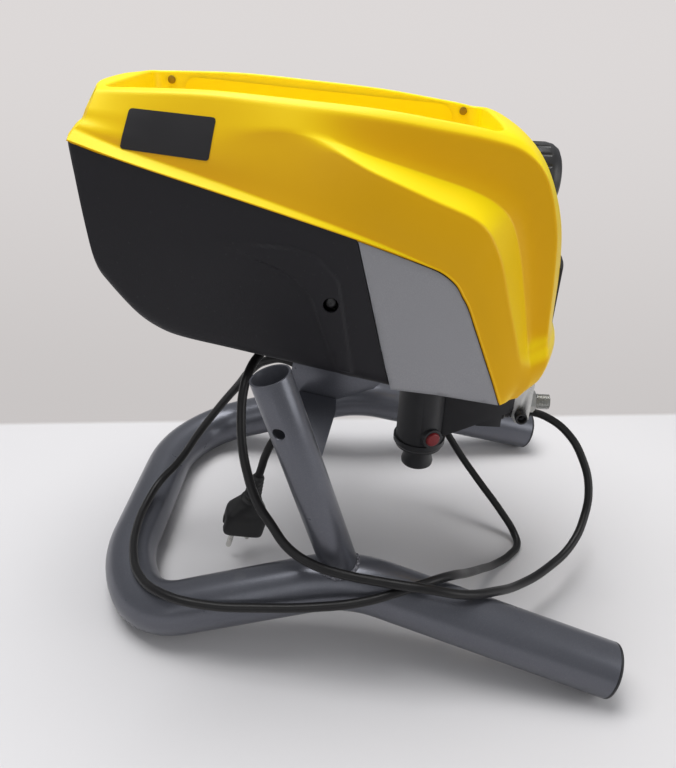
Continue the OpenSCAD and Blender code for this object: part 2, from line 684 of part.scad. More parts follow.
// ---------- gear housing and crank ----------
crank_r = crank_d / 2;
housing_rear = can_front + 12;
pocket_front = 2;
housing_front = 44;
chamber_front = 80;
bearing_x = [5, 33];
module gear_housing() color("lightsteelblue") difference()
{
    union()
    {
        translate([housing_rear, -38, axis_h - 38]) cube([34, 112, 76]);
        gear_axis(pocket_front, 0) cylinder(h = housing_front - pocket_front, d = crank_bearing_d + 12);
        gear_axis(pocket_front, counter_y) cylinder(h = 22, r = 9);
        // Feet down to the lower shell and the cradle
        on_underside() for (x = bolt_x, y = [-bolt_y, bolt_y]) translate([x, y, 0])
            cylinder(h = 28, r = 9);
        translate([cradle_rear + 2, -38, axis_h - 50]) cube([66, 76, 7]);
        translate([housing_rear, -38, axis_h - 50]) cube([34, 76, 14]);
    }
    translate([housing_rear - 1, -33, axis_h - 33]) cube([pocket_front - housing_rear + 1, 102, 66]);
    gear_axis(-4, 0) cylinder(h = 60, r = crank_r + 2);
    for (x = bearing_x) gear_axis(x, 0) cylinder(h = 9.1, d = crank_bearing_d + 0.02);
    gear_axis(pocket_front - 1, 0) cylinder(h = 5, r = 13);
    gear_axis(-4, counter_y) cylinder(h = 24.4, r = 4 + 0.01);
    on_underside() for (x = bolt_x, y = [-bolt_y, bolt_y]) translate([x, y, 0])
        cylinder(h = 18.2, d = cradle_bolt_d + 0.1);
    // The shell's inner face, cleared by a hair
    on_underside() translate([-80, -60, -10]) cube([200, 120, 10 + wall + 0.2]);
}
module crank_bearings() color("silver") for (x = bearing_x)
    gear_axis(x + 0.05, 0) washer(9, crank_bearing_d / 2, crank_r + run);
web_x = 46.2;
module crankshaft() color("gray")
{
    gear_axis(pair_2_x, 0) cylinder(h = web_x - pair_2_x + eps, r = crank_r);
    gear_axis(web_x, 0) cylinder(h = 6, r = throw + 9);
    gear_axis(web_x + 6 - eps, throw) cylinder(h = 15.8, r = 4);
}
roller_r = 7;
module crank_roller() color("silver") gear_axis(pump_x - 5, throw)
    washer(10, roller_r, 4);

// ---------- yoke and pump ----------
yoke_half_w = 21;
window_half_w = roller_r + throw + 0.4;
window_half_h = roller_r + 2 * throw + 0.4;
yoke_low = axis_h - window_half_h - 8;
yoke_t = 10;
piston_r = piston_d / 2;
cylinder_r = cylinder_d / 2;
cylinder_top = yoke_low - throw - 4.5;
module yoke() color("darkgray") translate([pump_x - yoke_t / 2, 0, 0]) difference()
{
    translate([0, -yoke_half_w, yoke_low]) cube([yoke_t, 2 * yoke_half_w, 2 * window_half_h + 15]);
    translate([-1, -window_half_w, axis_h - window_half_h])
        cube([yoke_t + 2, 2 * window_half_w, 2 * window_half_h]);
}
chamber_high = axis_h + window_half_h + 7 + throw + 1;
module yoke_chamber() color("lightsteelblue") difference()
{
    translate([housing_front, -yoke_half_w - fit_gap - 6, cylinder_top])
        cube([chamber_front - 4 - housing_front, 2 * (yoke_half_w + fit_gap + 6),
            chamber_high + 5 - cylinder_top]);
    translate([housing_front + 2, -yoke_half_w - fit_gap, cylinder_top + 4])
        cube([60, 2 * (yoke_half_w + fit_gap), chamber_high - cylinder_top - 4]);
    gear_axis(housing_front - 1, 0) cylinder(h = 10, r = throw + 9.4);
    translate([pump_x, 0, cylinder_top - 1]) cylinder(h = 8, r = piston_r + 0.4);
}
module chamber_cover() color("lightsteelblue")
    translate([chamber_front - 4, -yoke_half_w - fit_gap - 6, cylinder_top])
        cube([4, 2 * (yoke_half_w + fit_gap + 6), chamber_high + 5 - cylinder_top]);

seat_top = 118.5;
seat_hole_r = 3;
ball_r = ball_d / 2;
function ball_rest(hole_r) = sqrt(ball_r * ball_r - hole_r * hole_r) + 0.05;
ball_z = seat_top + ball_rest(seat_hole_r);
clip_z = ball_z + ball_r + 10;
piston_low = outlet_h + 3 + throw;
spring_seat = cylinder_r - 4;
module piston() color("gainsboro") translate([pump_x, 0, piston_low])
    cylinder(h = yoke_low - piston_low, r = piston_r);
packing_z = [cylinder_top - 14, cylinder_top - 28];
module piston_packings() color("ivory") for (z = packing_z) translate([pump_x, 0, z])
    washer(6, piston_r + 4, piston_r + run);
module pump_cylinder() color("silver") difference()
{
    union()
    {
        translate([pump_x, 0, inlet_h + 4]) cylinder(h = cylinder_top - inlet_h - 4, r = cylinder_r);
        translate([pump_x, 0, cylinder_top - 8]) cylinder(h = 8, r = cylinder_r + 8);
        translate([pump_x, 0, outlet_h]) rotate([0, 90, 0]) cylinder(h = cylinder_r + 4, r = 8);
    }
    translate([pump_x, 0, seat_top - 8.2]) cylinder(h = 200, r = piston_r + run);
    translate([pump_x, 0, inlet_h]) cylinder(h = 20, r = suction_bore / 2 - 2);
    for (z = packing_z) translate([pump_x, 0, z - 0.05]) cylinder(h = 6.1, r = piston_r + 4.02);
    translate([pump_x, 0, outlet_h]) rotate([0, 90, 0]) cylinder(h = 40, r = 2.5);
    translate([pump_x + cylinder_r - 4, 0, outlet_h]) rotate([0, 90, 0]) cylinder(h = 40, r = 5.02);
    pusher_axis() translate([0, 0, 3]) cylinder(h = 30, r = 1.6);
    pusher_axis() translate([0, 0, spring_seat]) cylinder(h = 30, r = 4.6);
}
module inlet_seat() color("gray") translate([pump_x, 0, seat_top - 8]) difference()
{
    cylinder(h = 8, r = piston_r);
    translate([0, 0, -1]) cylinder(h = 10, r = seat_hole_r);
}
module inlet_ball() color("silver") translate([pump_x, 0, ball_z]) sphere(r = ball_r);

// Round wire spring of so many curls, its ends straight up for one wire diameter
module wire_spring(r, wire, h, curls)
{
    steps = 8 * curls;
    rise = h - 2 * wire;
    points = concat([[r, 0, 0]],
        [for (i = [0:steps]) [r * cos(360 * i / 8), r * sin(360 * i / 8), wire + rise * i / steps]],
        [[r, 0, h]]);
    echo(least_gap_between_curls = rise / curls - wire);
    sides = 6;
    last = len(points) - 1;
    rings = [for (i = [0:last])
        let (a = unit(points[min(i + 1, last)] - points[max(i - 1, 0)]),
            t = i == 0 || i == last ? [0, 0, 1] : a,
            u = square_to(t, [points[i].x, points[i].y, 0]), v = cross(t, u))
        [for (s = [0:sides - 1]) points[i] + wire / 2 * (u * cos(60 * s) + v * sin(60 * s))]];
    sweep(rings);
}
module sweep(rings)
{
    n = len(rings[0]);
    m = len(rings);
    polyhedron(points = [for (ring = rings) each ring], faces = concat(
        [for (i = [0:m - 2], j = [0:n - 1]) let (k = (j + 1) % n)
            each [[i * n + j, (i + 1) * n + j, (i + 1) * n + k], [i * n + j, (i + 1) * n + k, i * n + k]]],
        [for (j = [1:n - 2]) [0, j, j + 1]],
        [for (j = [1:n - 2]) [(m - 1) * n, (m - 1) * n + j + 1, (m - 1) * n + j]]));
}
module inlet_spring() color("silver") translate([pump_x, 0, ball_z + ball_r * 0.75])
    wire_spring(3.4, 0.8, clip_z - ball_z - ball_r * 0.75 - 0.3, 4);
module spring_clip() color("gray") translate([pump_x, 0, clip_z])
    washer(2, piston_r, 2.4);

// ---------- inlet housing, pusher, suction ----------
module pusher_axis() translate([pump_x, 0, ball_z]) rotate([0, 0, pusher_turn]) rotate([90, 0, 0])
    children();
inlet_r = inlet_d / 2;
module inlet_housing() color([0.09, 0.09, 0.1]) difference()
{
    union()
    {
        translate([pump_x, 0, inlet_h]) cylinder(h = 100, r = inlet_r);
        translate([pump_x, 0, inlet_h]) cylinder(h = 4, r1 = inlet_r - 1, r2 = inlet_r + 2);
        translate([pump_x, 0, inlet_h + 3.9]) cylinder(h = 5, r = inlet_r + 2);
        pusher_axis() translate([0, 0, 10]) cylinder(h = inlet_r - 7, r = pusher_d / 2 + 2.5);
    }
    translate([pump_x, 0, inlet_h + 4]) cylinder(h = 110, r = cylinder_r + 0.1);
    translate([pump_x, 0, inlet_h - 1]) cylinder(h = 20, r = suction_bore / 2 + 2.3);
    pusher_axis() translate([0, 0, 4]) cylinder(h = 40, r = 4.6);
    pusher_axis() translate([0, 0, cylinder_r + 1.6]) cylinder(h = 20, r = pusher_d / 2 + 0.15);
    translate([pump_x, 0, outlet_h]) rotate([0, 90, 0]) cylinder(h = 40, r = 8.2);
}
button_back = cylinder_r + 1.6 + pusher_travel + 0.4;
button_front = inlet_r + 5;
module pusher_button() color("firebrick") pusher_axis()
{
    translate([0, 0, button_back]) cylinder(h = button_front - button_back - 1.5, d = pusher_d);
    translate([0, 0, button_front - 1.5]) cylinder(h = 1.5, d1 = pusher_d, d2 = pusher_d - 2);
    translate([0, 0, ball_r + 0.6 + pusher_travel]) cylinder(h = button_back - ball_r - pusher_travel, r = 1.5);
}
module pusher_spring() color("silver") pusher_axis() translate([0, 0, spring_seat + 0.1])
    wire_spring(3.4, 0.8, button_back - spring_seat - 0.2, 3);
flare_r = flare_d / 2;
module suction_connector() color([0.07, 0.07, 0.08]) translate([pump_x, 0, 0]) difference()
{
    rotate_extrude() polygon([[0, 84], [flare_r, 84], [flare_r + 0.3, 87], [flare_r - 1, 92],
        [flare_r - 1.6, 98], [flare_r - 1.4, inlet_h - 0.1], [suction_bore / 2 + 2.1, inlet_h - 0.1],
        [suction_bore / 2 + 2.1, inlet_h + 3.9], [0, inlet_h + 3.9]]);
    translate([0, 0, 80]) cylinder(h = 40, r = suction_bore / 2);
    translate([0, 0, 83.9]) cylinder(h = 4, r1 = flare_r - 1.5, r2 = suction_bore / 2);
}

// ---------- outlet ----------
block_rear = 137.2;
block_front = 152;
pipe_rear = pump_x + cylinder_r - 4;
module outlet_pipe() color("silver") translate([pipe_rear, 0, outlet_h]) rotate([0, 90, 0])
    washer(block_rear + 3 - pipe_rear, 5, 2.5);
module outlet_block() color("silver") difference()
{
    rotate([90, 0, 0]) translate([0, 0, -10]) linear_extrude(20)
        polygon([[block_rear, 196], [block_rear, 141], [block_rear + 4, 135.5],
            [block_front - 3, 135.5], [block_front, 140], [block_front, 196]]);
    translate([block_rear - 1, 0, outlet_h]) rotate([0, 90, 0]) cylinder(h = 4.1, r = 5.02);
    translate([block_rear - 1, 0, outlet_h]) rotate([0, 90, 0]) cylinder(h = 30, r = 1.8);
    translate([block_rear + 5, 0, outlet_h]) rotate([0, 90, 0]) cylinder(h = 30, r = 3.6);
    translate([block_rear + 7, -4, outlet_h - 9]) rotate([90, 0, 0]) cylinder(h = 20, r = 3);
}
small_ball_r = 2.5;
outlet_ball_x = block_rear + 5 + sqrt(small_ball_r * small_ball_r - 1.8 * 1.8) + 0.05;
module outlet_ball() color("silver") translate([outlet_ball_x, 0, outlet_h]) sphere(r = small_ball_r);
module outlet_spring() color("silver")
    translate([outlet_ball_x + small_ball_r * 0.8, 0, outlet_h]) rotate([0, 90, 0])
        wire_spring(1.8, 0.6, block_front - outlet_ball_x - small_ball_r * 0.8 - 0.3, 3);
module hose_fitting() color("silver") translate([block_front, 0, outlet_h]) rotate([0, 90, 0])
    difference()
    {
        union()
        {
            cylinder(h = 4.6, r = 9.8, $fn = 6);
            cylinder(h = 5 + hose_thread_l, d = hose_thread_d);
        }
        translate([0, 0, -1]) cylinder(h = 30, d = hose_bore - 3);
        translate([0, 0, 3]) cylinder(h = 30, d = hose_bore);
    }
module return_port() color([0.08, 0.08, 0.09]) translate([block_rear + 7, -4.2, outlet_h - 9])
    rotate([90, 0, 0]) difference()
    {
        union()
        {
            cylinder(h = 6, r = 2.95);
            translate([0, 0, 5.9]) cylinder(h = 7.5, r = 5.2);
        }
        translate([0, 0, -1]) cylinder(h = 30, r = 1.8);
        translate([0, 0, 8]) cylinder(h = 30, r = 3.6);
    }

// ---------- controls ----------
module pressure_control() color("dimgray") difference()
{
    union()
    {
        translate([knob_back - 19, -14, knob_h - 14]) cube([15, 28, 28]);
        translate([knob_back - 19, -14, knob_h - 40]) cube([10, 28, 40]);
        translate([chamber_front - 4, -14, chamber_high + 5.3])
            cube([knob_back - 16 - chamber_front + 4, 28, 4]);
        translate([chamber_front - 4 - 10, -14, chamber_high + 5]) cube([14, 28, 3]);
    }
    translate([knob_back - 40, 0, knob_h]) rotate([0, 90, 0]) cylinder(h = 60, r = 4 + run);
}
module pressure_knob() color([0.1, 0.1, 0.11]) translate([knob_back, 0, knob_h]) rotate([0, 90, 0])
{
    difference()
    {
        rotate_extrude($fn = 96) polygon([[0, 0], [knob_d / 2 - 1, 0], [knob_d / 2, 1],
            [knob_d / 2, knob_l - 11], [knob_d / 2 - 1.2, knob_l - 6],
            [knob_d / 2 - 4, knob_l - 2], [knob_d / 2 - 8, knob_l], [0, knob_l]]);
        for (i = [0:knob_grooves - 1]) rotate(360 * i / knob_grooves)
            translate([knob_d / 2 + 1.2, 0, 3]) cylinder(h = knob_l - 12, r = 2.2, $fn = 16);
        translate([-knob_d / 2 + 4, -1.2, knob_l - 1]) cube([14, 2.4, 3]);
    }
    translate([0, 0, -19]) cylinder(h = 19.1, r = 4);
}
board_z = axis_h + can_r + 2.2;
module control_board() color("seagreen")
{
    translate([-122, -34, board_z + 3]) cube([84, 68, 1.6]);
    for (x = [-112, -52], y = [-7, 3]) translate([x, y, axis_h + can_r + 0.05])
        cube([4, 4, board_z + 3 - axis_h - can_r]);
    color("black") translate([-112, -28, board_z + 4.5]) cube([20, 14, 7]);
    color("silver") translate([-80, -20, board_z + 4.5]) cube([26, 10, 8]);
    color("steelblue") translate([-70, 12, board_z + 4.5]) cylinder(h = 8, r = 8);
}

// ---------- mains lead ----------
gland_x = 134.2;
gland_y = 21;
gland_z = 130;
module cord_gland() color([0.08, 0.08, 0.09]) translate([gland_x, gland_y, gland_z])
    rotate([0, 90, 0]) difference()
    {
        union()
        {
            translate([0, 0, -14]) cylinder(h = 14.1, r = 5.9);
            cylinder(h = 3, r = 8.4);
            translate([0, 0, 2.9]) cylinder(h = 24, r1 = 6.8, r2 = cord_d / 2 + 1);
        }
        translate([0, 0, -15]) cylinder(h = 50, r = cord_d / 2 + 0.05);
    }
cord_start = [gland_x - 10, gland_y, gland_z];
plug_end = [-78, -48, 89];
plug_dir = unit([0.265, -0.08, 0.961]);
// From the gland round in front, over the right leg, up behind the cradle, round the left
// side to the floor, back over the right leg and the rear bend, and down to the plug
cord_points = [cord_start, [142, 21, 130], [161, 21, 130], [177, 17, 127], [195, 7, 117],
    [207, -7, 101], [213, -22, 80], [208, -40, 60], [194, -62, 48], [170, -86, 43],
    [140, -115, 50], [113, -142, 67], [87, -160, 80], [60, -166, 89], [29, -164, 91],
    [-3, -161, 94], [-22, -158, 98], [-41, -150, 105], [-55, -138, 116], [-66, -130, 129],
    [-74, -120, 146], [-79, -110, 163], [-81, -100, 182], [-81, -88, 197], [-78, -72, 208],
    [-72, -50, 212], [-65, -22, 212], [-60, 10, 212], [-62, 42, 212], [-57, 66, 208],
    [-38, 84, 198], [-8, 91, 182], [28, 88, 155], [60, 79, 120], [82, 69, 94], [97, 60, 75],
    [111, 49, 58], [129, 33, 40], [150, 14, 20], [162, -1, 7], [163, -15, 4], [154, -29, 4],
    [137, -48, 9], [118, -76, 28], [98, -110, 54], [74, -144, 80], [44, -162, 83],
    [14, -169, 76], [-20, -169, 68], [-58, -167, 62], [-100, -163, 57], [-135, -152, 54],
    [-160, -130, 49], [-174, -101, 47], [-181, -67, 46], [-181, -33, 47], [-175, -12, 53],
    [-160, -2, 68], [-138, 0, 102], [-114, -6, 138], [-99, -14, 160], [-86, -25, 181],
    [-72, -35, 196], [-54, -43, 202], [-37, -48, 193], [-29, -49, 174], [-36, -48, 156],
    [-50, -47, 143], [-63, -46, 130], [-71, -48, 114],
    plug_end + 12 * plug_dir, plug_end];
cord_sides = 8;
module mains_cord() color([0.06, 0.06, 0.07])
{
    last = len(cord_points) - 1;
    sweep([for (i = [0:last])
        let (t = unit(cord_points[min(i + 1, last)] - cord_points[max(i - 1, 0)]),
            u = square_to(t, [0.15, 0.25, 1]), v = cross(t, u))
        [for (s = [0:cord_sides - 1]) cord_points[i]
            + cord_d / 2 * (u * cos(360 * s / cord_sides) + v * sin(360 * s / cord_sides))]]);
}

// The plug leans on its pins
plug_row = square_to(plug_dir, [-0.85, -0.52, 0]);
plug_foot = plug_end - plug_dir * (24 + 38 + plug_pin_l);
module plug()
{
    color([0.06, 0.06, 0.07]) aim(plug_foot + plug_dir * plug_pin_l, plug_dir, plug_row) difference()
    {
        rotate_extrude() polygon([[0, 0], [18, 0], [18.8, 3], [18.5, 12], [15.5, 20], [12, 30],
            [10, 38], [8.6, 39], [cord_d / 2 + 1.6, 66], [0, 66]]);
        translate([0, 0, 56]) cylinder(h = 20, r = cord_d / 2 + 0.05);
        for (side = [-1, 1]) translate([side * 21, 0, -1]) cylinder(h = 22, r = 4.5);
    }
    color("silver") for (side = [-1, 1])
        aim(plug_foot + plug_row * side * plug_pin_gap / 2, plug_dir, plug_row)
        {
            translate([0, 0, 1]) cylinder(h = plug_pin_l, d = plug_pin_d);
            cylinder(h = 1.1, r1 = plug_pin_d / 2 - 0.8, r2 = plug_pin_d / 2);
        }
}

skid_frame();
end_caps();
support_tubes();
gusset_plates();
cradle_plate();
cradle_bolts();
top_cover();
tray_screws();
right_shell();
left_shell();
shell_screws();
right_side_panel();
left_side_panel();
name_plates();
front_plate();
belly_cover();
motor_can();
motor_front_bell();
motor_rear_bell();
field_core();
armature();
commutator();
brush_holders();
cooling_fan();
motor_shaft();
motor_bearings();
motor_pinion();
gear_housing();
countershaft_pin();
countershaft_gear();
crank_gear();
crankshaft();
crank_bearings();
crank_roller();
yoke_chamber();
chamber_cover();
yoke();
piston();
piston_packings();
pump_cylinder();
inlet_seat();
inlet_ball();
inlet_spring();
spring_clip();
inlet_housing();
suction_connector();
pusher_button();
pusher_spring();
outlet_pipe();
outlet_block();
outlet_ball();
outlet_spring();
hose_fitting();
return_port();
pressure_control();
pressure_knob();
control_board();
cord_gland();
mains_cord();
plug();
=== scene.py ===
import json
import math
import random
import bmesh
import bpy
from mathutils import Matrix, Vector
from mathutils.bvhtree import BVHTree


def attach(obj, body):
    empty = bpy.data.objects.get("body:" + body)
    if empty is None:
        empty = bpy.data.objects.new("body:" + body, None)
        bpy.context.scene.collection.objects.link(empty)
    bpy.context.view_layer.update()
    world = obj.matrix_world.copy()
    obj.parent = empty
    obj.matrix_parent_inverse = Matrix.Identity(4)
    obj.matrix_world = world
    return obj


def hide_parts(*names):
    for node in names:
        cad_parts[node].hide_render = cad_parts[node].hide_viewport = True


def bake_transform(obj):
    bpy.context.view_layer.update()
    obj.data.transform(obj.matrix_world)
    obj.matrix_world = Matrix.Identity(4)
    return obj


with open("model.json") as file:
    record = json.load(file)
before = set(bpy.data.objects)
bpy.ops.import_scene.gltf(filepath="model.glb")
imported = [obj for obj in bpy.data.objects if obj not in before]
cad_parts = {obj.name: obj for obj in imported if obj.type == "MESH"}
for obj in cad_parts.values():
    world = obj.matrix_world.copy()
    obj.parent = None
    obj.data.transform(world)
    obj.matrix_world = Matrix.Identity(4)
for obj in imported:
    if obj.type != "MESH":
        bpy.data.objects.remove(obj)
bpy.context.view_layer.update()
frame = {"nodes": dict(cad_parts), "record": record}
MM = 0.001

# Camera: stands in front of the sprayer's right side, looks down on it by 29 degrees,
# and leans by 2.4 degrees.
CAMERA_PLACE = (-0.00077, -0.5335, 0.451)
CAMERA_LENS = 32.82
camera_ahead = Vector((-0.0216, 0.8773, -0.4795)).normalized()
camera_level = Vector((math.cos(math.radians(1.41)), math.sin(math.radians(1.41)), 0))
camera_lean = math.radians(2.42)
camera_level = (camera_level - camera_ahead * camera_level.dot(camera_ahead)).normalized()
camera_top = camera_level.cross(camera_ahead)
camera_right = math.cos(camera_lean) * camera_level + math.sin(camera_lean) * camera_top
camera_up = math.cos(camera_lean) * camera_top - math.sin(camera_lean) * camera_level
camera_data = bpy.data.cameras.new("camera")
camera_data.sensor_width = 36
camera_data.lens = CAMERA_LENS
camera = bpy.data.objects.new("camera", camera_data)
bpy.context.scene.collection.objects.link(camera)
camera.matrix_world = Matrix.Translation(CAMERA_PLACE) @ Matrix(
    (camera_right, camera_up, -camera_ahead)
).transposed().to_4x4()
bpy.context.scene.camera = camera


# Mains lead: black rubber-sheathed flex with a moulded plug. It leaves the gland in front,
# goes round the right leg, behind the cradle, round the left side and back to the plug.
class Value:
    """A socket of a material that numbers and other sockets are worked out with."""

    def __init__(self, finish, socket):
        self.finish = finish
        self.socket = socket

    def maths(self, operation, first, second=None):
        return self.finish.node(
            "ShaderNodeMath", {"operation": operation}, {0: first, 1: second}
        )

    def __add__(self, other):
        return self.maths("ADD", self, other)

    def __sub__(self, other):
        return self.maths("SUBTRACT", self, other)

    def __rsub__(self, other):
        return self.maths("SUBTRACT", other, self)

    def __mul__(self, other):
        return self.maths("MULTIPLY", self, other)

    def __truediv__(self, other):
        return self.maths("DIVIDE", self, other)

    def __rtruediv__(self, other):
        return self.maths("DIVIDE", other, self)

    def clamped(self):
        return self.maths("MINIMUM", self.maths("MAXIMUM", self, 0.0), 1.0)

    def between(self, low, high):
        """0 below low, 1 above high, smooth in between."""
        return self.finish.node(
            "ShaderNodeMapRange",
            {"interpolation_type": "SMOOTHSTEP"},
            {"Value": self, "From Min": low, "From Max": high},
        )

    __radd__ = __add__
    __rmul__ = __mul__


class Finish:
    """A material with one Principled shader, built from nodes."""

    def __init__(self, name, metallic=0.0, specular=0.5):
        self.material = bpy.data.materials.new(name)
        self.material.use_nodes = True
        self.tree = self.material.node_tree
        self.shader = self.tree.nodes["Principled BSDF"]
        self.shader.inputs["Metallic"].default_value = metallic
        self.shader.inputs["Specular IOR Level"].default_value = specular
        coordinates = self.tree.nodes.new("ShaderNodeTexCoord")
        self.place = Value(self, coordinates.outputs["Object"])
        self.facing = Value(self, coordinates.outputs["Normal"])

    def node(self, kind, settings=None, inputs=None, output=0):
        made = self.tree.nodes.new(kind)
        for name, value in (settings or {}).items():
            setattr(made, name, value)
        for name, value in (inputs or {}).items():
            if isinstance(value, Value):
                self.tree.links.new(value.socket, made.inputs[name])
            elif value is not None:
                made.inputs[name].default_value = value
        return Value(self, made.outputs[output])

    def stretched(self, scale):
        return self.node("ShaderNodeMapping", None, {0: self.place, 3: scale})

    def noise(self, scale, detail=4.0, roughness=0.5, place=None):
        return self.node(
            "ShaderNodeTexNoise", None,
            {"Vector": place or self.place, "Scale": scale, "Detail": detail, "Roughness": roughness},
        )

    def mixed(self, first, second, share):
        """Colour between two colours, by share."""
        return self.node(
            "ShaderNodeMix", {"data_type": "RGBA"},
            {0: share, 6: rgba(first), 7: rgba(second)}, 2,
        )

    def colour(self, value):
        self.feed("Base Color", rgba(value))
        return self

    def roughness(self, value):
        self.feed("Roughness", value)
        return self

    def bump(self, height, strength, distance):
        bumped = self.node(
            "ShaderNodeBump", None,
            {"Height": height, "Strength": strength, "Distance": distance},
        )
        self.feed("Normal", bumped)
        return self

    def mottled(self, low, high, cloud, rough, grain=None):
        """One noise varies colour and roughness, and a fine one gives the bump."""
        mottle = self.noise(*cloud)
        self.colour(self.mixed(low, high, mottle))
        self.roughness(mottle * rough[0] + rough[1])
        if grain:
            scale, detail, strength, distance = grain
            self.bump(self.noise(scale, detail), strength, distance)
        return self

    def feed(self, name, value):
        if isinstance(value, Value):
            self.tree.links.new(value.socket, self.shader.inputs[name])
        else:
            self.shader.inputs[name].default_value = value


def rgba(colour):
    return (*colour, 1.0) if isinstance(colour, tuple) and len(colour) == 3 else colour


def finished(piece, finish, body="base"):
    """Gives a piece its one material and the body it rides on, if any."""
    piece.data.materials.clear()
    piece.data.materials.append(finish.material)
    if body:
        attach(piece, body)


CORD_RADIUS = 0.0035
cord_route = [
    (124.2, 21, 130), (142, 21, 130), (161, 21, 130), (177, 17, 127), (195, 7, 117),
    (207, -7, 101), (213, -22, 80), (208, -40, 60), (194, -62, 48), (170, -86, 43),
    (140, -115, 50), (113, -142, 67), (87, -160, 80), (60, -166, 89), (29, -164, 91),
    (-3, -161, 94), (-22, -158, 98), (-41, -150, 105), (-55, -138, 116), (-66, -130, 129),
    (-74, -120, 146), (-79, -110, 163), (-81, -100, 182), (-81, -88, 197), (-78, -72, 208),
    (-72, -50, 212), (-65, -22, 212), (-60, 10, 212), (-62, 42, 212), (-57, 66, 208),
    (-38, 84, 198), (-8, 91, 182), (28, 88, 155), (60, 79, 120), (82, 69, 94), (97, 60, 75),
    (111, 49, 58), (129, 33, 40), (150, 14, 20), (162, -1, 7), (163, -15, 4), (154, -29, 4),
    (137, -48, 9), (118, -76, 28), (98, -110, 54), (74, -144, 80), (44, -162, 83),
    (14, -169, 76), (-20, -169, 68), (-58, -167, 62), (-100, -163, 57), (-135, -152, 54),
    (-160, -130, 49), (-174, -101, 47), (-181, -67, 46), (-181, -33, 47), (-175, -12, 53),
    (-160, -2, 68), (-138, 0, 102), (-114, -6, 138), (-99, -14, 160), (-86, -25, 181),
    (-72, -35, 196), (-54, -43, 202), (-37, -48, 193), (-29, -49, 174), (-36, -48, 156),
    (-50, -47, 143), (-63, -46, 130), (-71, -48, 114),
]
plug_ahead = Vector((0.265, -0.08, 0.961)).normalized()
plug_top = Vector((-78, -48, 89)) * MM
cord_places = [Vector(p) * MM for p in cord_route] + [plug_top + 0.012 * plug_ahead, plug_top]
cord_curve = bpy.data.curves.new("mains_lead", "CURVE")
cord_curve.dimensions = "3D"
cord_curve.bevel_depth = CORD_RADIUS
cord_curve.bevel_resolution = 6
cord_curve.resolution_u = 6
cord_curve.use_fill_caps = True
cord_line = cord_curve.splines.new("BEZIER")
cord_line.bezier_points.add(len(cord_places) - 1)
for knot, at in zip(cord_line.bezier_points, cord_places):
    knot.co = at
    knot.handle_left_type = knot.handle_right_type = "AUTO"
mains_lead = bpy.data.objects.new("mains_lead", cord_curve)
bpy.context.scene.collection.objects.link(mains_lead)

rubber = Finish("flex_rubber", specular=0.28).mottled(
    (0.006, 0.006, 0.007), (0.016, 0.015, 0.015), cloud=(55.0, 5.0), rough=(0.2, 0.28),
    grain=(900.0, 2.0, 0.12, 0.0004),
)
finished(mains_lead, rubber)
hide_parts("mains_cord")


# Plug: one black moulding with flat sides, a ribbed tail and two plated round pins with
# rounded tips. The slots of its two earth clips are in the narrow sides.
def new_piece(name, mesh):
    """Makes an object of a bmesh and frees it."""
    data = bpy.data.meshes.new(name)
    mesh.to_mesh(data)
    mesh.free()
    made = bpy.data.objects.new(name, data)
    bpy.context.scene.collection.objects.link(made)
    return made


def soften(mesh, degrees=35):
    """Smooth shading, with the edges sharper than that many degrees kept."""
    limit = math.radians(degrees)
    for face in mesh.faces:
        face.smooth = True
    for edge in mesh.edges:
        edge.smooth = len(edge.link_faces) == 2 and edge.calc_face_angle(0.0) < limit


def outwards(mesh):
    """Merges doubles and turns every face outwards."""
    bmesh.ops.remove_doubles(mesh, verts=mesh.verts, dist=1e-6)
    bmesh.ops.recalc_face_normals(mesh, faces=mesh.faces)


def frame_at(place, ahead, side):
    """Matrix whose z axis is ahead and whose x axis is near side."""
    z = Vector(ahead).normalized()
    x = (Vector(side) - z * z.dot(Vector(side))).normalized()
    basis = Matrix((x, z.cross(x), z)).transposed().to_4x4()
    return Matrix.Translation(place) @ basis


def turned(mesh, profile, steps=48):
    """Turns (radius, height) points in mm round z. The first and last points lie on the axis."""
    line = [mesh.verts.new((r * MM, 0, z * MM)) for r, z in profile]
    edges = [mesh.edges.new(pair) for pair in zip(line, line[1:])]
    bmesh.ops.spin(
        mesh, geom=line + edges, cent=(0, 0, 0), axis=(0, 0, 1), dvec=(0, 0, 0),
        angle=2 * math.pi, steps=steps, use_merge=True, use_normal_flip=False, use_duplicate=False,
    )
    outwards(mesh)


def rounded(profile, radius, steps=4):
    """The open outline with each inner corner rounded; radius is a number or one per point."""
    points = [Vector(p) for p in profile]
    radii = radius if isinstance(radius, list) else [radius] * len(points)
    made = [points[0]]
    for before, at, after, r in zip(points, points[1:], points[2:], radii[1:]):
        back, ahead = before - at, after - at
        a = at + back.normalized() * min(r, back.length * 0.49)
        b = at + ahead.normalized() * min(r, ahead.length * 0.49)
        for k in range(steps + 1):
            t = k / steps
            made.append(a.lerp(at, t).lerp(at.lerp(b, t), t))
    return made + [points[-1]]


def joined(mesh, part):
    """Adds one bmesh to another and frees it."""
    kept = bpy.data.meshes.new("part")
    part.to_mesh(kept)
    part.free()
    mesh.from_mesh(kept)


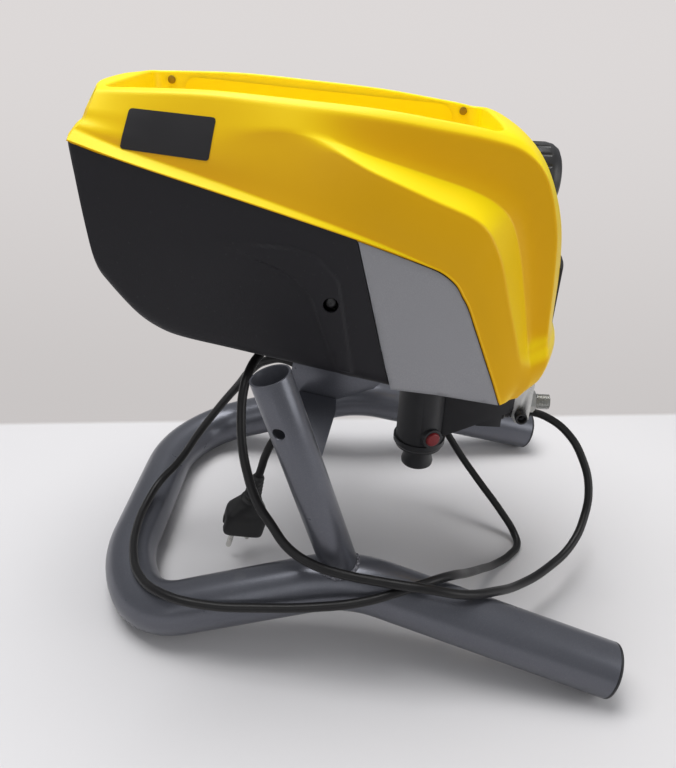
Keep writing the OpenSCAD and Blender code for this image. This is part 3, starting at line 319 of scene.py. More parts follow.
PIN_LENGTH, PIN_SPACING = 0.019, 0.019
PLUG_LENGTH = PIN_LENGTH + 0.062
pin_row, plug_wide = Vector((-0.78, -0.62, 0)), Vector((-0.98, -0.20, 0))
pin_tips = plug_top - plug_ahead * PLUG_LENGTH
plug_frame = frame_at(pin_tips + plug_ahead * PIN_LENGTH, plug_ahead, plug_wide)
PLUG_RADIUS, PLUG_HALF_WIDTH, PLUG_HALF_DEPTH = 18.5, 18.0, 11.8
TAIL_START, SQUARE_END, SLOT_END = 36, 25, 13.5
plug_moulding = [
    (0, 0), (16.9, 0), (18, 0.8), (18.5, 3), (18.5, 8), (18.5, 13), (18.5, 14), (18.3, 19),
    (17.4, 23), (15.2, 27), (12.4, 32), (9.8, 36), (9.5, 38.5), (8.0, 39.4),
]
for rib in range(6):
    height, radius = 40.2 + rib * 4.0, 7.7 - rib * 0.44
    plug_moulding += [
        (radius - 1.1, height), (radius - 1.1, height + 1.1), (radius, height + 1.6),
        (radius, height + 3.2),
    ]
plug_moulding += [(4.7, 64.6), (4.2, 66), (0, 66)]
plug_mesh = bmesh.new()
plug_line = rounded([(r, z, 0) for r, z in plug_moulding], 0.45, 2)
turned(plug_mesh, [(v.x, v.y) for v in plug_line], 96)
for vert in plug_mesh.verts:
    height = vert.co.z / MM
    reach = math.hypot(vert.co.x, vert.co.y)
    if height < TAIL_START and reach > 0.006:
        # Square sides that grow round towards the tail
        square = max(0.0, min(1.0, (TAIL_START - height) / (TAIL_START - SQUARE_END)))
        along = abs(vert.co.x) / reach / PLUG_HALF_WIDTH
        across = abs(vert.co.y) / reach / PLUG_HALF_DEPTH
        flat_sided = (along ** 6 + across ** 6) ** (-1 / 6) / PLUG_RADIUS
        scale = 1 - square + square * flat_sided
        # Slots of the earth clips
        if height < SLOT_END and abs(vert.co.y) < 0.0034 and reach > 0.012:
            scale -= 0.15
        vert.co.x *= scale
        vert.co.y *= scale
bmesh.ops.transform(plug_mesh, matrix=plug_frame, verts=plug_mesh.verts)
soften(plug_mesh, 40)
plug_body = new_piece("plug_body", plug_mesh)
moulded_rubber = Finish("plug_moulding", specular=0.4).mottled(
    (0.012, 0.012, 0.013), (0.024, 0.024, 0.024), cloud=(90.0, 6.0), rough=(0.18, 0.40),
    grain=(1400.0, 2.0, 0.15, 0.0003),
)
finished(plug_body, moulded_rubber)
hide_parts("plug")

pin_line = [(0, 0), (1.2, 0.1), (2.0, 0.6), (2.4, 1.6), (2.4, 20.5), (0, 20.5)]
pin_mesh = bmesh.new()
for side in (-1, 1):
    one_pin = bmesh.new()
    turned(one_pin, pin_line, 24)
    pin_place = pin_tips + side * (PIN_SPACING / 2) * pin_row.normalized()
    one_pin.transform(frame_at(pin_place, plug_ahead, pin_row))
    joined(pin_mesh, one_pin)
CLIP_SIZE, CLIP_OUT, CLIP_UP = (0.0012, 0.0038, 0.0116), 0.0153, 0.0068
for side in (-1, 1):
    clip = bmesh.ops.create_cube(pin_mesh, size=1)["verts"]
    clip_place = plug_frame @ Matrix.Translation((side * CLIP_OUT, 0, CLIP_UP))
    bmesh.ops.scale(pin_mesh, vec=CLIP_SIZE, verts=clip)
    bmesh.ops.transform(pin_mesh, matrix=clip_place, verts=clip)
soften(pin_mesh, 30)
plug_pins = new_piece("plug_pins", pin_mesh)
plated = Finish("nickel_plating", metallic=1.0).mottled(
    (0.55, 0.54, 0.50), (0.70, 0.69, 0.66), cloud=(260.0, 5.0), rough=(0.2, 0.16),
)
finished(plug_pins, plated)
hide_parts("plug")

# Cord gland: black rubber sleeve, pressed into the belly cover. Its tapered tail is slotted
# all round so that it bends with the lead.
gland_mesh = bmesh.new()
gland_line = [(3.6, -6), (7.2, -6), (8.3, 0), (8.3, 2.4), (7.0, 3.2)]
for slot_number in range(5):
    height, radius = 4.6 + slot_number * 4.4, 6.6 - slot_number * 0.38
    gland_line += [
        (radius, height), (radius, height + 2.4), (radius - 1.5, height + 2.8),
        (radius - 1.6, height + 4.0),
    ]
gland_line += [(4.9, 26.4), (3.6, 26.6)]
turned(gland_mesh, gland_line)
GLAND_PLACE = Vector((134.2, 21, 130)) * MM
gland_frame = frame_at(GLAND_PLACE, (1, 0, 0), (0, 0, 1))
bmesh.ops.transform(gland_mesh, matrix=gland_frame, verts=gland_mesh.verts)
soften(gland_mesh, 40)
gland = new_piece("gland", gland_mesh)
finished(gland, rubber)
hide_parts("cord_gland")


# Skid: one 42 mm steel tube, bent cold in six places and powder coated in satin grey. The
# two front legs run down to the floor.
TUBE_RADIUS = 0.021
skid_turns = [
    (Vector((200.262, -167.602, 21.094)), 0), (Vector((2.436, -140.264, 71.627)), 99),
    (Vector((-154.064, -141.4, 21)), 53), (Vector((-188, -85, 21)), 113),
    (Vector((-188, 85, 21)), 113), (Vector((-154.064, 141.4, 21)), 53),
    (Vector((2.436, 140.264, 71.627)), 99), (Vector((200.262, 167.602, 21.094)), 0),
]


def bent_tube(mesh, corners, radius, facets=40):
    """Pushes a ring along straight lengths and spins it round the bends, as a bender does."""
    ahead = (corners[1][0] - corners[0][0]).normalized()
    made = bmesh.ops.create_circle(
        mesh, cap_ends=False, radius=radius, segments=facets,
        matrix=frame_at(corners[0][0] * MM, ahead, (0, 0, 1)),
    )
    ring = list({e for v in made["verts"] for e in v.link_edges})
    place = corners[0][0]
    for (corner, bend), (after, _) in zip(corners[1:], corners[2:] + [(None, 0)]):
        turn_angle = ahead.angle(after - corner) if after else 0
        start = corner - ahead * bend * math.tan(turn_angle / 2) if after else corner
        for share in (0.5, 0.5):
            ring = pushed(mesh, ring, (start - place) * share * MM)
        if after is None:
            break
        following = (after - corner).normalized()
        inward = (following - ahead * math.cos(turn_angle)).normalized()
        result = bmesh.ops.spin(
            mesh, geom=ring, cent=(start + inward * bend) * MM, axis=ahead.cross(inward),
            dvec=(0, 0, 0), angle=turn_angle, steps=max(6, int(math.degrees(turn_angle) / 3)),
            use_merge=False, use_normal_flip=False, use_duplicate=False,
        )
        ring = [g for g in result["geom_last"] if isinstance(g, bmesh.types.BMEdge)]
        ahead = following
        place = corner + following * bend * math.tan(turn_angle / 2)


def pushed(mesh, edges, step):
    """Extrudes loose edges by a step and returns the new far edges."""
    made = bmesh.ops.extrude_edge_only(mesh, edges=edges)["geom"]
    verts = [g for g in made if isinstance(g, bmesh.types.BMVert)]
    bmesh.ops.translate(mesh, vec=step, verts=verts)
    fresh = set(verts)
    return [g for g in made if isinstance(g, bmesh.types.BMEdge) and set(g.verts) <= fresh]


skid_mesh = bmesh.new()
bent_tube(skid_mesh, skid_turns, TUBE_RADIUS)
outwards(skid_mesh)
soften(skid_mesh, 40)
skid = new_piece("skid", skid_mesh)

coat = Finish("grey_powder_coat", metallic=0.55, specular=0.5)
coat_cloud = coat.noise(9.0, 3.0)
coat_fleck = coat.noise(2600.0, 1.0).between(0.56, 0.70)
scuff_where = coat.noise(38.0, 7.0, 0.62).between(0.66, 0.72)
coat_base = coat.mixed((0.098, 0.102, 0.122), (0.128, 0.132, 0.152), coat_cloud)
coat_flecked = coat.mixed(coat_base, (0.27, 0.28, 0.30), coat_fleck * 0.30)
coat.colour(coat.mixed(coat_flecked, (0.17, 0.17, 0.18), scuff_where * 0.3))
coat.roughness(coat.noise(60.0, 3.0) * 0.12 + 0.24 + scuff_where * 0.06)
coat.bump(coat.noise(520.0, 2.0), 0.06, 0.0006)
finished(skid, coat)
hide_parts("skid_frame")


# End caps: black moulded plugs, driven into the tube ends. Their faces are slightly domed
# and meet the tube in a small round.
def on_side(place, side):
    """The place or direction of the right side, or its mirror image for the left side."""
    return Vector((place.x, -side * place.y, place.z))


leg_ahead = (skid_turns[0][0] - skid_turns[1][0]).normalized()
moulded_black = Finish("black_moulding", specular=0.45).mottled(
    (0.013, 0.013, 0.015), (0.026, 0.026, 0.029), cloud=(70.0, 5.0), rough=(0.16, 0.36),
    grain=(1300.0, 2.0, 0.12, 0.0003),
)
caps_mesh = bmesh.new()
cap_line = [
    (0, -8), (19.2, -8), (19.2, 0), (20.0, 0.15), (20.75, 0.5), (21.0, 1.2), (20.8, 2.0),
    (20.0, 2.55), (18, 2.72), (10, 2.92), (0, 3.0),
]
for side in (-1, 1):
    one_cap = bmesh.new()
    turned(one_cap, cap_line, 64)
    tip = on_side(skid_turns[0][0], side) * MM
    one_cap.transform(frame_at(tip, on_side(leg_ahead, side), (0, 0, 1)))
    joined(caps_mesh, one_cap)
soften(caps_mesh, 40)
caps = new_piece("leg_caps", caps_mesh)
finished(caps, moulded_black)
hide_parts("end_caps")


# Support tubes: 28 mm steel tubes, cut square at the top, drilled across for a locking pin,
# and welded to the skid. Powder coated with it.
POST_RADIUS = 14.0
post_foot, post_top = Vector((1.5, -140, 67.63)), Vector((-53.5, -145, 242))
post_ahead = (post_top - post_foot).normalized()


def refined(node, name, edge, degrees=30):
    """A copy of a CAD node with its points merged, its flat faces whole, and its sharp edges
    rounded."""
    mesh = bmesh.new()
    mesh.from_mesh(frame["nodes"][node].data)
    bmesh.ops.remove_doubles(mesh, verts=mesh.verts, dist=1e-5)
    bmesh.ops.dissolve_limit(
        mesh, angle_limit=math.radians(0.3), verts=mesh.verts, edges=mesh.edges,
        use_dissolve_boundaries=False, delimit={"SHARP"},
    )
    if edge:
        limit = math.radians(degrees)
        sharp = [
            e for e in mesh.edges if len(e.link_faces) == 2 and e.calc_face_angle(0.0) > limit
        ]
        bmesh.ops.bevel(
            mesh, geom=sharp, offset=edge, offset_type="OFFSET", segments=2, profile=0.5,
            affect="EDGES", clamp_overlap=True, material=-1,
        )
    soften(mesh, 28)
    made = new_piece(name, mesh)
    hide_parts(node)
    return made


finished(refined("support_tubes", "posts", 0.0004), coat)


# Weld beads: a rough rounded bead round the foot of each post, left as it was laid and
# painted over with the frame.
def bead(mesh, places, radius, seed):
    """A lumpy weld bead along closed places."""
    lumps = random.Random(seed)
    count, around = len(places), 8
    centre = sum(places, Vector()) / count
    rings = []
    for i, at in enumerate(places):
        along = (places[(i + 1) % count] - places[i - 1]).normalized()
        out = (at - centre).normalized()
        out = (out - along * along.dot(out)).normalized()
        up = along.cross(out)
        size = radius * (1 + 0.22 * math.sin(i * 2.1) + lumps.uniform(-0.16, 0.16))
        ring = []
        for k in range(around):
            angle = k * math.tau / around
            ring.append(mesh.verts.new(at + size * (out * math.cos(angle) + up * math.sin(angle))))
        rings.append([mesh.edges.new((ring[k], ring[(k + 1) % around])) for k in range(around)])
    for one, two in zip(rings, rings[1:] + rings[:1]):
        bmesh.ops.bridge_loops(mesh, edges=one + two)


BEAD_RADIUS, BEAD_POINTS = 0.0017, 60
beads_mesh = bmesh.new()
skid_tree = BVHTree.FromObject(skid, bpy.context.evaluated_depsgraph_get())
for side in (-1, 1):
    ahead = on_side(post_ahead, side)
    across = ahead.cross(Vector((0, 0, 1))).normalized()
    other = ahead.cross(across)
    joint_line = []
    for k in range(BEAD_POINTS):
        angle = k * math.tau / BEAD_POINTS
        reach = (POST_RADIUS + 0.4) * MM * (across * math.cos(angle) + other * math.sin(angle))
        hit = skid_tree.ray_cast(on_side(post_top, side) * MM + reach, -ahead)[0]
        if hit:
            joint_line.append(hit)
    bead(beads_mesh, joint_line, BEAD_RADIUS, 5 + side)
outwards(beads_mesh)
soften(beads_mesh, 80)
beads = new_piece("weld_beads", beads_mesh)
weld = Finish("painted_weld", metallic=0.5)
weld_ripple = weld.noise(700.0, 4.0).between(0.42, 0.68)
weld.colour(weld.mixed((0.10, 0.10, 0.12), (0.26, 0.26, 0.28), weld_ripple))
weld.roughness(weld.noise(500.0, 3.0) * 0.3 + 0.3)
weld.bump(weld.noise(900.0, 4.0), 0.5, 0.0005)
finished(beads, weld)


# Cradle and gussets: 3 mm sheet steel, bent to a channel under the belly and welded to the
# posts. They are powder coated with the skid.
finished(refined("cradle_plate", "cradle", 0.0004), coat)
finished(refined("gusset_plates", "gussets", 0.0004), coat)

# Cradle bolts: zinc-plated hexagon bolts that hold the belly to the cradle. The plating is
# cloudy, with a few yellowish stains.
zinc = Finish("zinc_plating", metallic=1.0)
zinc_bloom = zinc.noise(190.0, 6.0)
zinc_stain = zinc.noise(28.0, 4.0).between(0.5, 0.75)
zinc_clean = zinc.mixed((0.46, 0.46, 0.44), (0.66, 0.66, 0.64), zinc_bloom)
zinc.colour(zinc.mixed(zinc_clean, (0.40, 0.38, 0.30), zinc_stain * 0.4))
zinc.roughness(zinc_bloom * 0.22 + 0.20)
zinc.bump(zinc.noise(1100.0, 2.0), 0.1, 0.0003)
finished(refined("cradle_bolts", "bolts", 0.0004), zinc)


# Motor shells: a right and a left half, moulded in fine-grained black plastic. A low raised
# band runs forward and down each side, and a screw sinks in at its end.
WALL = 2.5
UNDER_SLOPE = math.tan(math.radians(11.4))
# Each row: x, the lowest z and the half width
shell_rows = [
    (-186.5, 362, 86), (-184.5, 336, 88), (-181.5, 305, 89.3), (-178.5, 285, 89.7), (-172, 273.5, 90),
    (-155.5, 253, 90), (-141, 242, 90), (-124.5, 235.6, 90), (-89, 210.4 + 89 * UNDER_SLOPE, 90),
    (-40, 210.4 + 40 * UNDER_SLOPE, 90), (40, 210.4 - 40 * UNDER_SLOPE, 90),
]


def curve_through(rows, steps):
    """Smooth curve through rows of numbers, with that many steps from row to row."""
    made = []
    for i in range(len(rows) - 1):
        a, b, c, d = rows[max(i - 1, 0)], rows[i], rows[i + 1], rows[min(i + 2, len(rows) - 1)]
        for s in range(steps):
            t = s / steps
            made.append([
                q + (r - p) * t / 2 + (2 * p - 5 * q + 4 * r - u) * t * t / 2
                + (3 * q - p - 3 * r + u) * t ** 3 / 2
                for p, q, r, u in zip(a, b, c, d)
            ])
    return made + [list(rows[-1])]


def seam_height(x):
    """Height of the seam between shell and cover. It bends at the tray and lifts at the rear."""
    height = 316.4 - (x + 3.3) * (0.2854 if x < -3.3 else 0.335)
    return height + 0.0035 * max(0.0, -165 - x) ** 2


def drawn_skin(mesh, rings):
    """Extrudes a chain of points from ring to ring and returns its first and last chains."""
    chain = [mesh.verts.new(p) for p in rings[0]]
    edges = [mesh.edges.new(pair) for pair in zip(chain, chain[1:])]
    first = list(chain)
    for ring in rings[1:]:
        made = bmesh.ops.extrude_edge_only(mesh, edges=edges)["geom"]
        fresh = {g for g in made if isinstance(g, bmesh.types.BMVert)}
        moved = []
        for old, place in zip(chain, ring):
            new = next(e.other_vert(old) for e in old.link_edges if e.other_vert(old) in fresh)
            new.co = place
            moved.append(new)
        chain = moved
        edges = [g for g in made if isinstance(g, bmesh.types.BMEdge) and set(g.verts) <= fresh]
    return first, chain


def face_up(mesh, face, way):
    """Turns the sheet so that the given face points that way."""
    bmesh.ops.recalc_face_normals(mesh, faces=mesh.faces)
    if face.normal.dot(way) < 0:
        bmesh.ops.reverse_faces(mesh, faces=mesh.faces)


def smoothstep(low, high, value):
    t = max(0.0, min(1.0, (value - low) / (high - low)))
    return t * t * (3 - 2 * t)


band_line = [
    (-98, 311), (-71, 305), (-48, 300), (-36, 295), (-24, 282), (-17.5, 257), (-8.5, 223), (-4, 206),
]
band_width = [3, 9, 17, 21, 21, 17, 11, 9]
BAND_HEIGHT = 2.1


def band_rise(x, z):
    """Height of the shell's raised band at a point of its side."""
    best, width = 1e9, 1.0
    for (x0, z0), (x1, z1), w0, w1 in zip(band_line, band_line[1:], band_width, band_width[1:]):
        span = (x1 - x0) ** 2 + (z1 - z0) ** 2
        t = max(0.0, min(1.0, ((x - x0) * (x1 - x0) + (z - z0) * (z1 - z0)) / span))
        far = math.hypot(x - x0 - t * (x1 - x0), z - z0 - t * (z1 - z0))
        if far < best:
            best, width = far, w0 + (w1 - w0) * t
    flank = 1 - smoothstep(width * 0.5 - 1.3, width * 0.5 + 1.3, best)
    return BAND_HEIGHT * flank * smoothstep(2, 12, width)


SIDES = ((-1, "right"), (1, "left"))
SHELL_SCREW = Vector((-18.8, 0, 270))
SHELL_HALF, HOLE_RADIUS, HOLE_DEPTH = 90, 5.4, 16
PANEL_EDGE = (Vector((-4, 0, 321)), Vector((29, 0, 195)))
edge_run = PANEL_EDGE[1] - PANEL_EDGE[0]
edge_normal = Vector((-edge_run.z, 0, edge_run.x)).normalized()


def sliced(mesh, place, normal, dist=1e-7, outer=False, inner=False):
    """Cuts the whole mesh with a plane, and clears one side of it where that is asked."""
    bmesh.ops.bisect_plane(
        mesh, geom=mesh.verts[:] + mesh.edges[:] + mesh.faces[:], dist=dist,
        plane_co=place, plane_no=normal, clear_outer=outer, clear_inner=inner,
    )


def shell_ring(x, low, half, side):
    """One band of the shell at x, from the seam down its side and under the belly."""
    top = seam_height(x) - 0.6
    bottom = low - 0.6
    radius = min(14, (top - bottom) * 0.45)
    side_end, flat = bottom + radius * 1.6, half - radius * 1.6
    corner = rounded(
        [
            (half, side_end, 0), (half, bottom + radius * 0.55, 0),
            (half - radius * 0.55, bottom, 0), (flat, bottom, 0),
        ],
        radius * 0.8, 6,
    )
    walls = 56
    ring = [
        (half + (1 - k / walls) * 0.6, top + (side_end - top) * k / walls) for k in range(walls)
    ]
    ring += [(p.x, p.y) for p in corner]
    ring += [(flat * (1 - k / 6) + 0.1 * k / 6, bottom) for k in range(1, 7)]
    places = []
    for y, z in ring:
        share = 1 if z > bottom + radius * 0.5 else 0.3
        places.append(Vector((x, side * (y + band_rise(x, z) * share), z)) * MM)
    return places


def make_shell(side, name, node):
    """One half of the motor shell, walled, cut along the panel's edge and drilled."""
    rows = [r for r in curve_through(shell_rows, 7) if r[0] < 36]
    dense = []
    for one, two in zip(rows, rows[1:]):
        parts = max(1, round((two[0] - one[0]) / 1.5))
        dense += [[a + (b - a) * k / parts for a, b in zip(one, two)] for k in range(parts)]
    dense.append(rows[-1])
    mesh = bmesh.new()
    first, _ = drawn_skin(mesh, [shell_ring(x, low, half, side) for x, low, half in dense])
    # Rear wall: the first ring is closed straight down the middle of the machine
    top_middle = mesh.verts.new((first[0].co.x, first[-1].co.y, first[0].co.z))
    mesh.faces.new(first + [top_middle])
    sliced(mesh, (PANEL_EDGE[0] - Vector((0.6, 0, 0))) * MM, edge_normal, outer=True)
    outer_face = max(mesh.faces, key=lambda f: side * f.calc_center_median().y)
    face_up(mesh, outer_face, Vector((0, side, 0)))
    soften(mesh, 30)
    made = new_piece(name, mesh)
    walled(made, WALL * MM)
    drill = bmesh.new()
    bmesh.ops.create_cone(
        drill, cap_ends=True, segments=40, radius1=HOLE_RADIUS * MM, radius2=HOLE_RADIUS * MM,
        depth=HOLE_DEPTH * MM,
    )
    hole = (SHELL_SCREW + Vector((0, side * SHELL_HALF, 0))) * MM
    bmesh.ops.transform(drill, matrix=frame_at(hole, (0, 1, 0), (1, 0, 0)), verts=drill.verts)
    cut(made, new_piece("drill_" + name, drill))
    applied(made)
    mesh = bmesh.new()
    mesh.from_mesh(made.data)
    soften(mesh, 30)
    mesh.to_mesh(made.data)
    mesh.free()
    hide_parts(node)
    return made


def walled(piece, thickness, offset=-1):
    """Gives a skin its wall: inwards at an offset of -1 and outwards at 1."""
    wall = piece.modifiers.new("wall", "SOLIDIFY")
    wall.thickness = thickness
    wall.offset = offset


def cut(piece, cutter, operation="DIFFERENCE"):
    """Adds a Boolean that takes the cutter away, or keeps what lies in both."""
    away = piece.modifiers.new(cutter.name, "BOOLEAN")
    away.object = cutter
    away.operation = operation
    away.solver = "EXACT"


def applied(piece):
    """Applies a piece's modifiers and removes the cutters that they used."""
    cutters = [m.object for m in piece.modifiers if m.type == "BOOLEAN"]
    bpy.context.view_layer.update()
    shaped = piece.evaluated_get(bpy.context.evaluated_depsgraph_get())
    piece_data = bpy.data.meshes.new_from_object(shaped)
    piece.modifiers.clear()
    piece.data = piece_data
    for cutter in cutters:
        bpy.data.objects.remove(cutter)


grained = Finish("grained_black", specular=0.34)
grained_cloud = grained.noise(14.0, 3.0)
grained_dust = grained.noise(420.0, 2.0).between(0.66, 0.74)
grained_base = grained.mixed((0.0085, 0.0078, 0.0105), (0.0125, 0.0115, 0.0150), grained_cloud)
grained.colour(grained.mixed(grained_base, (0.04, 0.04, 0.045), grained_dust * 0.25))
grained.roughness(grained.noise(30.0, 4.0) * 0.10 + 0.50)
grained.bump(grained.noise(2300.0, 2.0), 0.28, 0.00025)
for side, side_name in SIDES:
    half_shell = make_shell(side, "shell_" + side_name, side_name + "_shell")
    finished(half_shell, grained)

# Shell screws: blackened pan heads with a cross recess, deep in their holes. They draw the
# two halves of the shell together over the motor.
HEAD_SUNK, CROSS_HEIGHT, CROSS_SIZE = 3, 1.45, (4.4, 0.9, 0.9)
head_line = [(0, -2), (3.9, -2), (3.9, 0.3), (3.5, 1.0), (2.4, 1.5), (0, 1.65)]
screws_mesh = bmesh.new()
for side in (-1, 1):
    head = bmesh.new()
    turned(head, head_line, 32)
    for angle in (0, 90):
        wing = Matrix.Rotation(math.radians(angle), 4, "Z")
        wing = wing @ Matrix.Translation((0, 0, CROSS_HEIGHT * MM))
        wing = wing @ Matrix.Diagonal((*(size * MM for size in CROSS_SIZE), 1))
        bmesh.ops.create_cube(head, size=1.0, matrix=wing)
    head_place = (SHELL_SCREW + Vector((0, side * (SHELL_HALF - HEAD_SUNK), 0))) * MM
    head.transform(frame_at(head_place, (0, side, 0), (0.42, 0, 0.9)))
    joined(screws_mesh, head)
soften(screws_mesh, 35)
screws = new_piece("screw_heads", screws_mesh)
blackened = Finish("blackened_steel", metallic=0.8)
blackened_wear = blackened.noise(500.0, 4.0)
blackened.colour(blackened.mixed((0.035, 0.035, 0.037), (0.09, 0.09, 0.09), blackened_wear))
blackened.roughness(blackened.noise(300.0, 3.0) * 0.2 + 0.28)
finished(screws, blackened)
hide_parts("shell_screws")


# Top cover: one yellow moulding from the rear lip to the chin. A ridge sweeps forward and
# down each flank, and the open tool tray is let into its top.
SEAM_HALF = 92
# Each row: x and z of the seam, foot, crest and rim, the half widths of foot, crest and rim,
# the seam's shift, the lip's size, the valley's depth, and x and z of the crown
cover_rows = [
    (-189, 370.8, -183, 379.5, -181.5, 385, -178, 393.5, 66, 63, 52, -14, 0.7, 0, -5, 5),
    (-185, 369.6, -177, 380.5, -175.5, 385.5, -172.5, 396, 78, 75, 66, 0, 0.7, 0, 0, 3),
    (-150, 358.3, -150, 377, -150, 383, -150, 396.5, 79, 76, 68, 0, 0.55, 0, 0, 3.2),
    (-100, 344, -100, 370, -100, 377, -100, 396.3, 80, 77, 68, 0, 0.48, 0, 0, 4.2),
    (-42, 327.4, -42, 375.5, -42, 378.5, -42, 391.3, 77, 75.5, 68, 0, 0.3, 0, 0, 7.2),
    (6.5, 313.1, 6.5, 358, 6.5, 364.2, 6.5, 386.5, 88, 73, 68, 0, 0.15, 1, 0, 9.5),
    (43.5, 300.8, 43.5, 343.7, 43.5, 353.6, 43.5, 381.3, 90, 70.5, 68, 0, 0, 2, 0, 10.8),
    (55, 296, 69, 334, 71.8, 345.2, 78, 376.6, 91, 70, 68, 0, 0, 2.5, 3, 10),
    (64.5, 288.5, 80, 325.5, 89.5, 336.3, 101, 370.5, 91, 70, 68, 0, 0, 3, 5, 7.5),
    (70, 280, 87, 315, 99.6, 325.3, 118, 355, 90, 70, 68, 0, 0, 3, 9, 2),
    (74.3, 273, 93.5, 301, 107.6, 304.5, 129.5, 323, 90, 70, 68, 0, 0, 3, 14, 0),
    (80, 260, 101, 278, 115, 275.5, 134, 288, 89, 70.5, 68, 0, 0, 2.5, 16.5, 0),
    (88, 241.5, 110.5, 250, 121.3, 246.5, 136.3, 253, 88, 72, 69, 0, 0, 2, 15.5, 0),
    (92.5, 231, 114, 238, 123.2, 235.2, 136.8, 241, 87, 77, 73, 0, 0, 0.5, 15.5, 0),
    (96, 223, 117, 227, 125, 226, 137.5, 230, 86.5, 82.5, 79, 0, 0, 0, 19, 0),
    (101, 211, 118, 213, 126, 213, 134, 214, 86, 83.5, 78, 0, 0, 0, 19, 0),
    (105.5, 199.5, 114, 200, 120, 200.5, 126, 203, 84, 82, 75, 0, 0, 0, 14, 0),
]


def cover_outline(row):
    """The right half of one band of the cover, seam to middle, as (x, y, z) points."""
    seam, foot, crest, rim = (Vector(row[k:k + 2]) for k in (0, 2, 4, 6))
    foot_y, crest_y, rim_y, seam_shift, lip_size, valley_in, crown_x, crown_z = row[8:]
    seam_y = SEAM_HALF + seam_shift
    along = (rim - seam).normalized()
    lip = seam + along * (1.5 + 7 * lip_size)
    lip_y = seam_y - 0.6 - 7.4 * min(1, 1.8 * lip_size)
    panel, panel_y = (lip + foot) / 2, (lip_y + foot_y) / 2 + 1
    valley, valley_y = crest.lerp(rim, 0.32), crest_y + (rim_y - crest_y) * 0.32 - valley_in
    near = [
        (seam, seam_y), (seam + along * 0.8, seam_y), (lip, lip_y), (panel, panel_y), (foot, foot_y),
        (crest, crest_y), (valley, valley_y), (rim, rim_y),
    ]
    points = [Vector((p.x, -y, p.y)) for p, y in near]
    for t in (0.97, 0.88, 0.6, 0.3, 0.0):
        points.append(Vector((rim.x + crown_x * (1 - t * t), -rim_y * t, rim.y + crown_z * (1 - t ** 12))))
    return points


def cover_ring(row):
    # The ridge's corners are soft at the rear and crisp from the middle on
    crisp = smoothstep(-46, -16, row[0])
    foot, crest, valley = 14 - 12 * crisp, 14 - 12.9 * crisp, 14 - 7 * crisp
    half = rounded(
        cover_outline(row), [0, 0.4, 1.4, 30, foot, crest, valley, 2.6, 30, 30, 30, 30, 0], 4,
    )
    return [p * MM for p in half] + [Vector((p.x, -p.y, p.z)) * MM for p in reversed(half[:-1])]


cover_mesh = bmesh.new()
cover_lines = curve_through(cover_rows[:2], 3)[:-1] + curve_through(cover_rows[1:], 9)
first_ring, last_ring = drawn_skin(cover_mesh, [cover_ring(row) for row in cover_lines])
cover_mesh.faces.new(first_ring)
cover_mesh.faces.new(last_ring)

TRAY = {"rear": -170.0, "front": 88.0, "half": 60.0, "round": 10.0, "floor": 350.0}


def tray_outline(grow, facets=10):
    """The tray's outline in plan, grown by some millimetres."""
    front, rear = TRAY["front"] - TRAY["round"], TRAY["rear"] + TRAY["round"]
    half = TRAY["half"] - TRAY["round"]
    r = TRAY["round"] + grow
    points = []
    for corner, (x, y) in enumerate(((front, half), (rear, half), (rear, -half), (front, -half))):
        for k in range(facets + 1):
            angle = math.pi / 2 * (corner + k / facets)
            points.append(Vector((x + r * math.cos(angle), y + r * math.sin(angle))))
    return points


def slit(mesh, faces, place, normal):
    """Cuts some of the mesh's faces with a plane."""
    verts = {v for f in faces for v in f.verts}
    edges = {e for f in faces for e in f.edges}
    bmesh.ops.bisect_plane(
        mesh, geom=list(verts) + list(edges) + faces, dist=2e-7, plane_co=place, plane_no=normal,
    )


def score(mesh, outline, flat, upright, wanted, margin=7.0):
    """Cuts the mesh along an outline that flat() turns from 3D to 2D and upright() back."""
    for a, b in zip(outline, outline[1:] + outline[:1]):
        if (b - a).length < 1e-6:
            continue
        low = Vector((min(a.x, b.x) - margin, min(a.y, b.y) - margin))
        high = Vector((max(a.x, b.x) + margin, max(a.y, b.y) + margin))
        faces = []
        for face in mesh.faces:
            at = face.calc_center_median() / MM
            p = flat(at)
            if wanted(at) and low.x < p[0] < high.x and low.y < p[1] < high.y:
                faces.append(face)
        normal = Vector(((b - a).y, -(b - a).x)).normalized()
        slit(mesh, faces, Vector(upright(a)) * MM, Vector(upright(normal)))


def inside(outline, p):
    """Whether a point lies in a convex outline."""
    runs = [(a, b - a) for a, b in zip(outline, outline[1:] + outline[:1]) if (b - a).length > 1e-6]
    return all(run.cross(Vector(p) - a) > -1e-6 for a, run in runs)


def open_edges(mesh, test):
    """The edges with a single face whose two points both pass a test."""
    return [e for e in mesh.edges if len(e.link_faces) == 1 and all(test(v.co) for v in e.verts)]


ROUND_OVER = 1.8
mouth = tray_outline(ROUND_OVER)
score(cover_mesh, mouth, lambda p: (p.x, p.y), lambda p: (p[0], p[1], 0), lambda p: p.z > 340)
opened = [
    f for f in cover_mesh.faces
    if f.calc_center_median().z > 0.340 and inside(mouth, (f.calc_center_median() / MM).xy)
]
bmesh.ops.delete(cover_mesh, geom=opened, context="FACES")


def tray_inward(p):
    """Unit vector from the tray's wall into the tray, in plan."""
    core = Vector((
        max(TRAY["rear"] + TRAY["round"], min(TRAY["front"] - TRAY["round"], p.x)),
        max(-TRAY["half"] + TRAY["round"], min(TRAY["half"] - TRAY["round"], p.y)),
    ))
    away = core - p.xy
    return away.normalized() if away.length > 1e-6 else Vector((0, 0))


def lowered(mesh, edges, place):
    """Extrudes a loop of edges, and place says where each new point goes."""
    made = bmesh.ops.extrude_edge_only(mesh, edges=edges)["geom"]
    fresh = {g for g in made if isinstance(g, bmesh.types.BMVert)}
    for vert in fresh:
        vert.co = place(vert.co / MM) * MM
    return [g for g in made if isinstance(g, bmesh.types.BMEdge) and set(g.verts) <= fresh]


